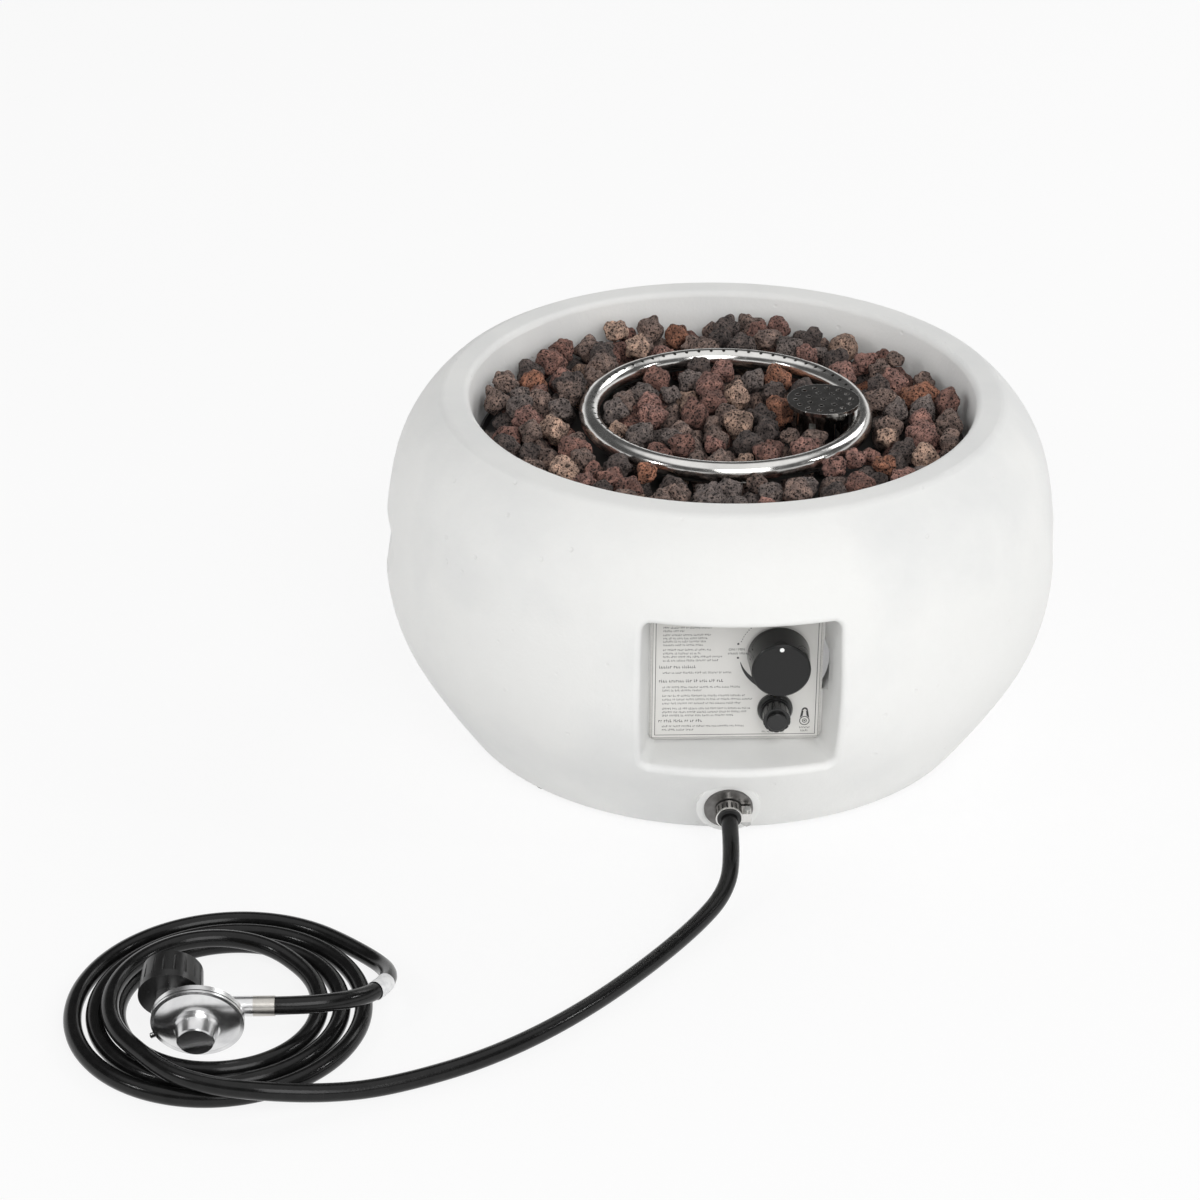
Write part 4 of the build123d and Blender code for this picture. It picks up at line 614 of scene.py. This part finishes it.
# Hose exit
# A spun steel washer on the casting's pad, with a rubber bush through it.
# A slotted band clamp with a worm screw holds the hose in the bush.
washer_steel = finish("washer_steel", (0.17, 0.165, 0.16), 0.34, 1.0)
tint(washer_steel, grain(washer_steel, 120), [(0.3, (0.13, 0.125, 0.12)), (0.75, (0.22, 0.215, 0.21))])
rough(washer_steel, grain(washer_steel, 500), 0.25, 0.45)
dress(washer_steel, "hose_flange")
dress(matt_black, "hose_bush")
dress(stainless, "clamp_band", "clamp_housing")
dress(plated, "clamp_screw")


# Gas hose
# Black rubber hose with a thin gloss, crimped to the regulator at one end and clamped at the bowl.
# It drops to the ground, runs forward in a wide bend and lies in three flat turns with half a turn on top.
hose_radius = 0.006
hose_exit = Vector((-0.005, -0.23973, 0.033906))
exit_dip = math.radians(12)
exit_heading = Vector((0, -math.cos(exit_dip), -math.sin(exit_dip)))
exit_straight = 0.0405
coil_middle = Vector((-0.350, -0.420, 0))
coil_start = math.radians(45)
coil_outer = 0.1055
coil_step_in = 0.0146
coil_step_out = 0.032
coil_turns_in = 3.0
coil_turns_out = 0.5
coil_climb = 0.5
coil_layer = 0.0125
coil_points_per_turn = 24

hose_rubber = finish("hose_rubber", grey(0.006), 0.3)
skin(hose_rubber).inputs["Specular IOR Level"].default_value = 0.3
tint(hose_rubber, grain(hose_rubber, 140), [(0.3, grey(0.004)), (0.8, grey(0.010))])
rough(hose_rubber, grain(hose_rubber, 260, 5), 0.12, 0.26)
emboss(hose_rubber, grain(hose_rubber, 600, 4), 0.00012, 0.35)


def lying(x, y, lift=0.0):
    """A point of the hose's middle line, by its lift above lying on the ground."""
    return Vector((x, y, hose_radius + lift))


def coil_spot(turns):
    """A point of the coil: in along the ground, up a layer as the spiral turns back, and out on top."""
    angle = coil_start + 2 * math.pi * turns
    past = turns - coil_turns_in
    radius = coil_outer - coil_step_in * turns
    if past > 0:
        radius = coil_outer - coil_step_in * coil_turns_in + coil_step_out * past
    climb = min(1.0, max(0.0, (past + coil_climb / 2) / coil_climb))
    lift = coil_layer * climb * climb * (3 - 2 * climb)
    return coil_middle + Vector((radius * math.cos(angle), radius * math.sin(angle), hose_radius + lift))


lead_route = [
    hose_exit, hose_exit + exit_heading * exit_straight,
    lying(-0.012, -0.305, 0.009), lying(-0.031, -0.331, 0.0025), lying(-0.063, -0.371),
    lying(-0.102, -0.416), lying(-0.142, -0.453), lying(-0.181, -0.480), lying(-0.219, -0.498),
    lying(-0.252, -0.511, 0.0015), lying(-0.284, -0.5205, 0.0065), lying(-0.316, -0.5255, coil_layer),
    lying(-0.347, -0.520, coil_layer), lying(-0.3772, -0.5065, coil_layer),
]
coil_count = round((coil_turns_in + coil_turns_out) * coil_points_per_turn)
coil_route = [coil_spot(step / coil_points_per_turn) for step in range(coil_count + 1)]
tail_route = [
    lying(-0.2496, -0.3700), lying(-0.2416, -0.3925, 0.0065), lying(-0.2440, -0.4154, 0.0140),
    lying(-0.2555, -0.4353, 0.0195), lying(-0.2757, -0.4488, 0.0248), lying(-0.2990, -0.4540, 0.0263),
    lying(-0.3270, -0.4540, 0.0263),
]
hose_route = lead_route + coil_route[::-1] + tail_route
hose = soft_line("gas_hose", hose_route, hose_radius, hose_rubber)
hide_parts("hose_lead", "hose_coil", "hose_tail")
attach(hose, "fire_pit")

inside_route = [
    hose_exit, (-0.005, -0.2220, 0.0377), (-0.005, -0.1960, 0.0432), (-0.005, -0.1620, 0.0504),
    (-0.005, -0.1520, 0.0640), (-0.005, -0.1520, 0.0900), (-0.005, -0.1520, 0.1160),
]
inside_hose = soft_line("hose_inside", inside_route, hose_radius, hose_rubber)
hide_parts("hose_inner")
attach(inside_hose, "fire_pit")


# Hose sleeve
# A short wrap of plain white film round the hose's last bend, slightly creased where the hose curves.
# It goes with the hose, as the ferrule and the regulator do.
sleeve_near = Vector((-0.2455, -0.4190, 0.0215))
sleeve_length = 0.019
sleeve_film_lift = 0.0004
sleeve_radius = hose_radius + sleeve_film_lift
sleeve_corners = 32
crease_depth, crease_pace, crease_folds = 0.012, 1.9, 3
bend_points = 40

bare_line = hose.copy()
bare_line.data = hose.data.copy()
bare_line.data.bevel_depth = 0
bpy.context.scene.collection.objects.link(bare_line)
bpy.context.view_layer.update()
line_mesh = bpy.data.meshes.new_from_object(bare_line.evaluated_get(bpy.context.evaluated_depsgraph_get()))
line_points = [vertex.co.copy() for vertex in line_mesh.vertices]
bpy.data.objects.remove(bare_line)
nearest = min(range(len(line_points)), key=lambda index: (line_points[index] - sleeve_near).length)
covered = [index for index in range(len(line_points)) if abs(index - nearest) < bend_points
           and (line_points[index] - line_points[nearest]).length < sleeve_length / 2]
sleeve_shape = bmesh.new()
rings = []
for index in covered:
    ahead = (line_points[index + 1] - line_points[index - 1]).normalized()
    side = ahead.cross(Vector((0, 0, 1))).normalized()
    up = side.cross(ahead)
    ring = []
    for corner in range(sleeve_corners):
        turn = 2 * math.pi * corner / sleeve_corners
        crease = 1 + crease_depth * math.sin(index * crease_pace + crease_folds * turn)
        ring.append(sleeve_shape.verts.new(
            line_points[index] + (side * math.cos(turn) + up * math.sin(turn)) * sleeve_radius * crease))
    rings.append(ring)
for before, after in zip(rings, rings[1:]):
    for corner in range(sleeve_corners):
        following = (corner + 1) % sleeve_corners
        sleeve_shape.faces.new((before[corner], before[following], after[following], after[corner]))
bmesh.ops.recalc_face_normals(sleeve_shape, faces=sleeve_shape.faces)
sleeve_mesh = bpy.data.meshes.new("hose_wrap")
sleeve_shape.to_mesh(sleeve_mesh)
sleeve_shape.free()
sleeve_mesh.shade_smooth()
sleeve_film = finish("sleeve_film", grey(0.82), 0.4)
tint(sleeve_film, grain(sleeve_film, 260), [(0.35, (0.70, 0.70, 0.71)), (0.55, grey(0.84))])
emboss(sleeve_film, grain(sleeve_film, 300), 0.0003, 0.5)
sleeve_mesh.materials.append(sleeve_film)
sleeve = put("hose_wrap", sleeve_mesh)
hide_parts("hose_sleeve")
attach(sleeve, "fire_pit")


# Regulator and ferrule
# Two polished die-cast halves crimped over a diaphragm and its gasket, with a tapered screw cap
# and a brass nipple. A crimped nickel ferrule holds the hose.
polished_alloy = finish("polished_aluminium", grey(0.74), 0.2, 1.0)
tint(polished_alloy, grain(polished_alloy, 45),
     [(0.3, (0.60, 0.60, 0.61)), (0.6, grey(0.80)), (0.9, (0.72, 0.72, 0.73))])
rough(polished_alloy, grain(polished_alloy, 60, 3), 0.18, 0.3)
emboss(polished_alloy, grain(polished_alloy, 90, 2), 0.0004, 0.12)
dress(polished_alloy, "regulator_body", "regulator_cover", "regulator_cap")
dress(brass, "inlet_nipple")

nickel = finish("brushed_nickel", (0.56, 0.54, 0.50), 0.32, 1.0)
tint(nickel, grain(nickel, 700, 3, (1, 30, 30)), [(0.3, (0.44, 0.42, 0.39)), (0.7, (0.66, 0.64, 0.60))])
rough(nickel, grain(nickel, 400), 0.24, 0.4)
dress(nickel, "hose_ferrule")

gasket = finish("gasket_rubber", grey(0.03), 0.6)
tint(gasket, grain(gasket, 300), [(0.3, grey(0.02)), (0.8, grey(0.045))])
dress(gasket, "regulator_gasket")


# Coupling nut
# A large black hand nut with ribs, moulded in nylon round a threaded core.
# It turns on the regulator's nipple.
nut_nylon = finish("nut_nylon", grey(0.007), 0.38)
tint(nut_nylon, grain(nut_nylon, 150), [(0.3, grey(0.005)), (0.8, grey(0.012))])
rough(nut_nylon, grain(nut_nylon, 120), 0.24, 0.34)
emboss(nut_nylon, grain(nut_nylon, 900), 0.00005, 0.15)
dress(nut_nylon, "coupling_nut")


# Floor and light
# A wide pale floor that keeps a soft shadow, white walls, and soft lamps in front, at the sides and behind.
# Metal mirrors a white horizon and a white ceiling, with a dim band between them.
floor_reach = 30.0
floor_white = 0.86
# The share of the floor's glow that stays under the bowl, as painted shade, and the radii over which that
# painted shade fades out.
glow_kept_in_painted_shade = 0.4
painted_shade_radii = (0.17, 0.20)
wall_strength = 1.05
wall_tops = (0.66, 0.74)
dim_band = (0.20, 0.36, 0.74, 0.86)
white, dim, black = grey(1), grey(0.09), grey(0)
lamp_aim = Vector((-0.05, -0.1, 0.15))
lamps = [
    ("key_lamp", (0.5, -2.4, 2.1), 1.8, 36),
    ("fill_lamp", (-2.2, -1.3, 1.6), 0.25, 5.5),
    ("side_lamp", (2.3, -0.6, 1.7), 0.25, 5.0),
    ("back_lamp", (1.7, 1.7, 1.9), 1.2, 13),
]


def seen_share(owner, share):
    """A share for rays that come straight from the camera, a mirror or glass, and none for the rest."""
    path = add(owner, "ShaderNodeLightPath")
    found = path.outputs["Is Camera Ray"]
    for kind in ("Is Glossy Ray", "Is Transmission Ray"):
        either = add(owner, "ShaderNodeMath")
        either.operation = "MAXIMUM"
        join(owner, found, either.inputs[0])
        join(owner, path.outputs[kind], either.inputs[1])
        found = either.outputs["Value"]
    scaled = add(owner, "ShaderNodeMapRange", To_Max=share)
    join(owner, found, scaled.inputs["Value"])
    return scaled.outputs["Result"]


def show(owner, output, share, unseen, seen):
    """Mixes two shaders by a share, as what a material or a world shows."""
    mix = add(owner, "ShaderNodeMixShader")
    join(owner, share, mix.inputs["Fac"])
    join(owner, unseen, mix.inputs[1])
    join(owner, seen, mix.inputs[2])
    join(owner, mix.outputs["Shader"], owner.node_tree.nodes[output].inputs["Surface"])


floor_corners = [(-floor_reach, -floor_reach, 0), (floor_reach, -floor_reach, 0),
                 (floor_reach, floor_reach, 0), (-floor_reach, floor_reach, 0)]
floor_mesh = bpy.data.meshes.new("floor")
floor_mesh.from_pydata(floor_corners, [], [(0, 1, 2, 3)])
floor = put("floor", floor_mesh)
floor_paint = finish("floor_paint", grey(0.90), 0.8)
tint(floor_paint, grain(floor_paint, 2), [(0.3, grey(0.89)), (0.7, grey(0.91))])
# Under the bowl the floor's white glow is cut to a share of itself, as painted shade where the bowl covers
# the floor.
from_axis = add(floor_paint, "ShaderNodeVectorMath")
from_axis.operation = "LENGTH"
join(floor_paint, place_of(floor_paint), from_axis.inputs[0])
painted_shade_under_bowl = add(floor_paint, "ShaderNodeMapRange",
              From_Min=painted_shade_radii[0], From_Max=painted_shade_radii[1], To_Min=glow_kept_in_painted_shade)
join(floor_paint, from_axis.outputs["Value"], painted_shade_under_bowl.inputs["Value"])
white_share = add(floor_paint, "ShaderNodeMath")
white_share.operation = "MULTIPLY"
join(floor_paint, seen_share(floor_paint, floor_white), white_share.inputs[0])
join(floor_paint, painted_shade_under_bowl.outputs["Result"], white_share.inputs[1])
floor_glow = add(floor_paint, "ShaderNodeEmission", Strength=1.0)
show(floor_paint, "Material Output", white_share.outputs["Value"],
     skin(floor_paint).outputs["BSDF"], floor_glow.outputs["Emission"])
floor_mesh.materials.append(floor_paint)

world = bpy.data.worlds.new("studio")
bpy.context.scene.world = world
world.use_nodes = True
heading = add(world, "ShaderNodeSeparateXYZ")
join(world, add(world, "ShaderNodeTexCoord").outputs["Generated"], heading.inputs["Vector"])
wall_light = world.node_tree.nodes["Background"]
wall_light.inputs["Strength"].default_value = wall_strength
lit_walls = list(zip(wall_tops, (white, black)))
join(world, ramp(world, heading.outputs["Z"], lit_walls), wall_light.inputs["Color"])
backdrop = add(world, "ShaderNodeBackground", Strength=1.0)
seen_walls = list(zip(dim_band, (white, dim, dim, white)))
join(world, ramp(world, heading.outputs["Z"], seen_walls), backdrop.inputs["Color"])
show(world, "World Output", seen_share(world, 1.0),
     wall_light.outputs["Background"], backdrop.outputs["Background"])

for name, place, size, power in lamps:
    lamp = bpy.data.lights.new(name, "AREA")
    lamp.size = size
    lamp.energy = power
    stand = put(name, lamp)
    aim = lamp_aim - Vector(place)
    stand.matrix_world = Matrix.Translation(place) @ aim.to_track_quat("-Z", "Y").to_matrix().to_4x4()


# Camera
# A long lens well above the rim, looking down at the bowl's front from slightly to the left.
camera_place = Vector((-0.1541, -2.0404, 1.1812))
camera_ahead = Vector((0.0275, 0.88025, -0.47372)).normalized()
camera_roll = math.radians(0.29)
level_right = camera_ahead.cross(Vector((0, 0, 1))).normalized()
level_up = level_right.cross(camera_ahead)
camera_right = level_right * math.cos(camera_roll) + level_up * math.sin(camera_roll)
camera_up = level_up * math.cos(camera_roll) - level_right * math.sin(camera_roll)
camera_axes = Matrix((camera_right, camera_up, -camera_ahead)).transposed()
lens = bpy.data.cameras.new("camera")
lens.sensor_width = 36
lens.lens = 90
camera = put("camera", lens)
camera.matrix_world = Matrix.Translation(camera_place) @ camera_axes.to_4x4()
bpy.context.scene.camera = camera
bpy.context.scene.view_settings.view_transform = "Standard"
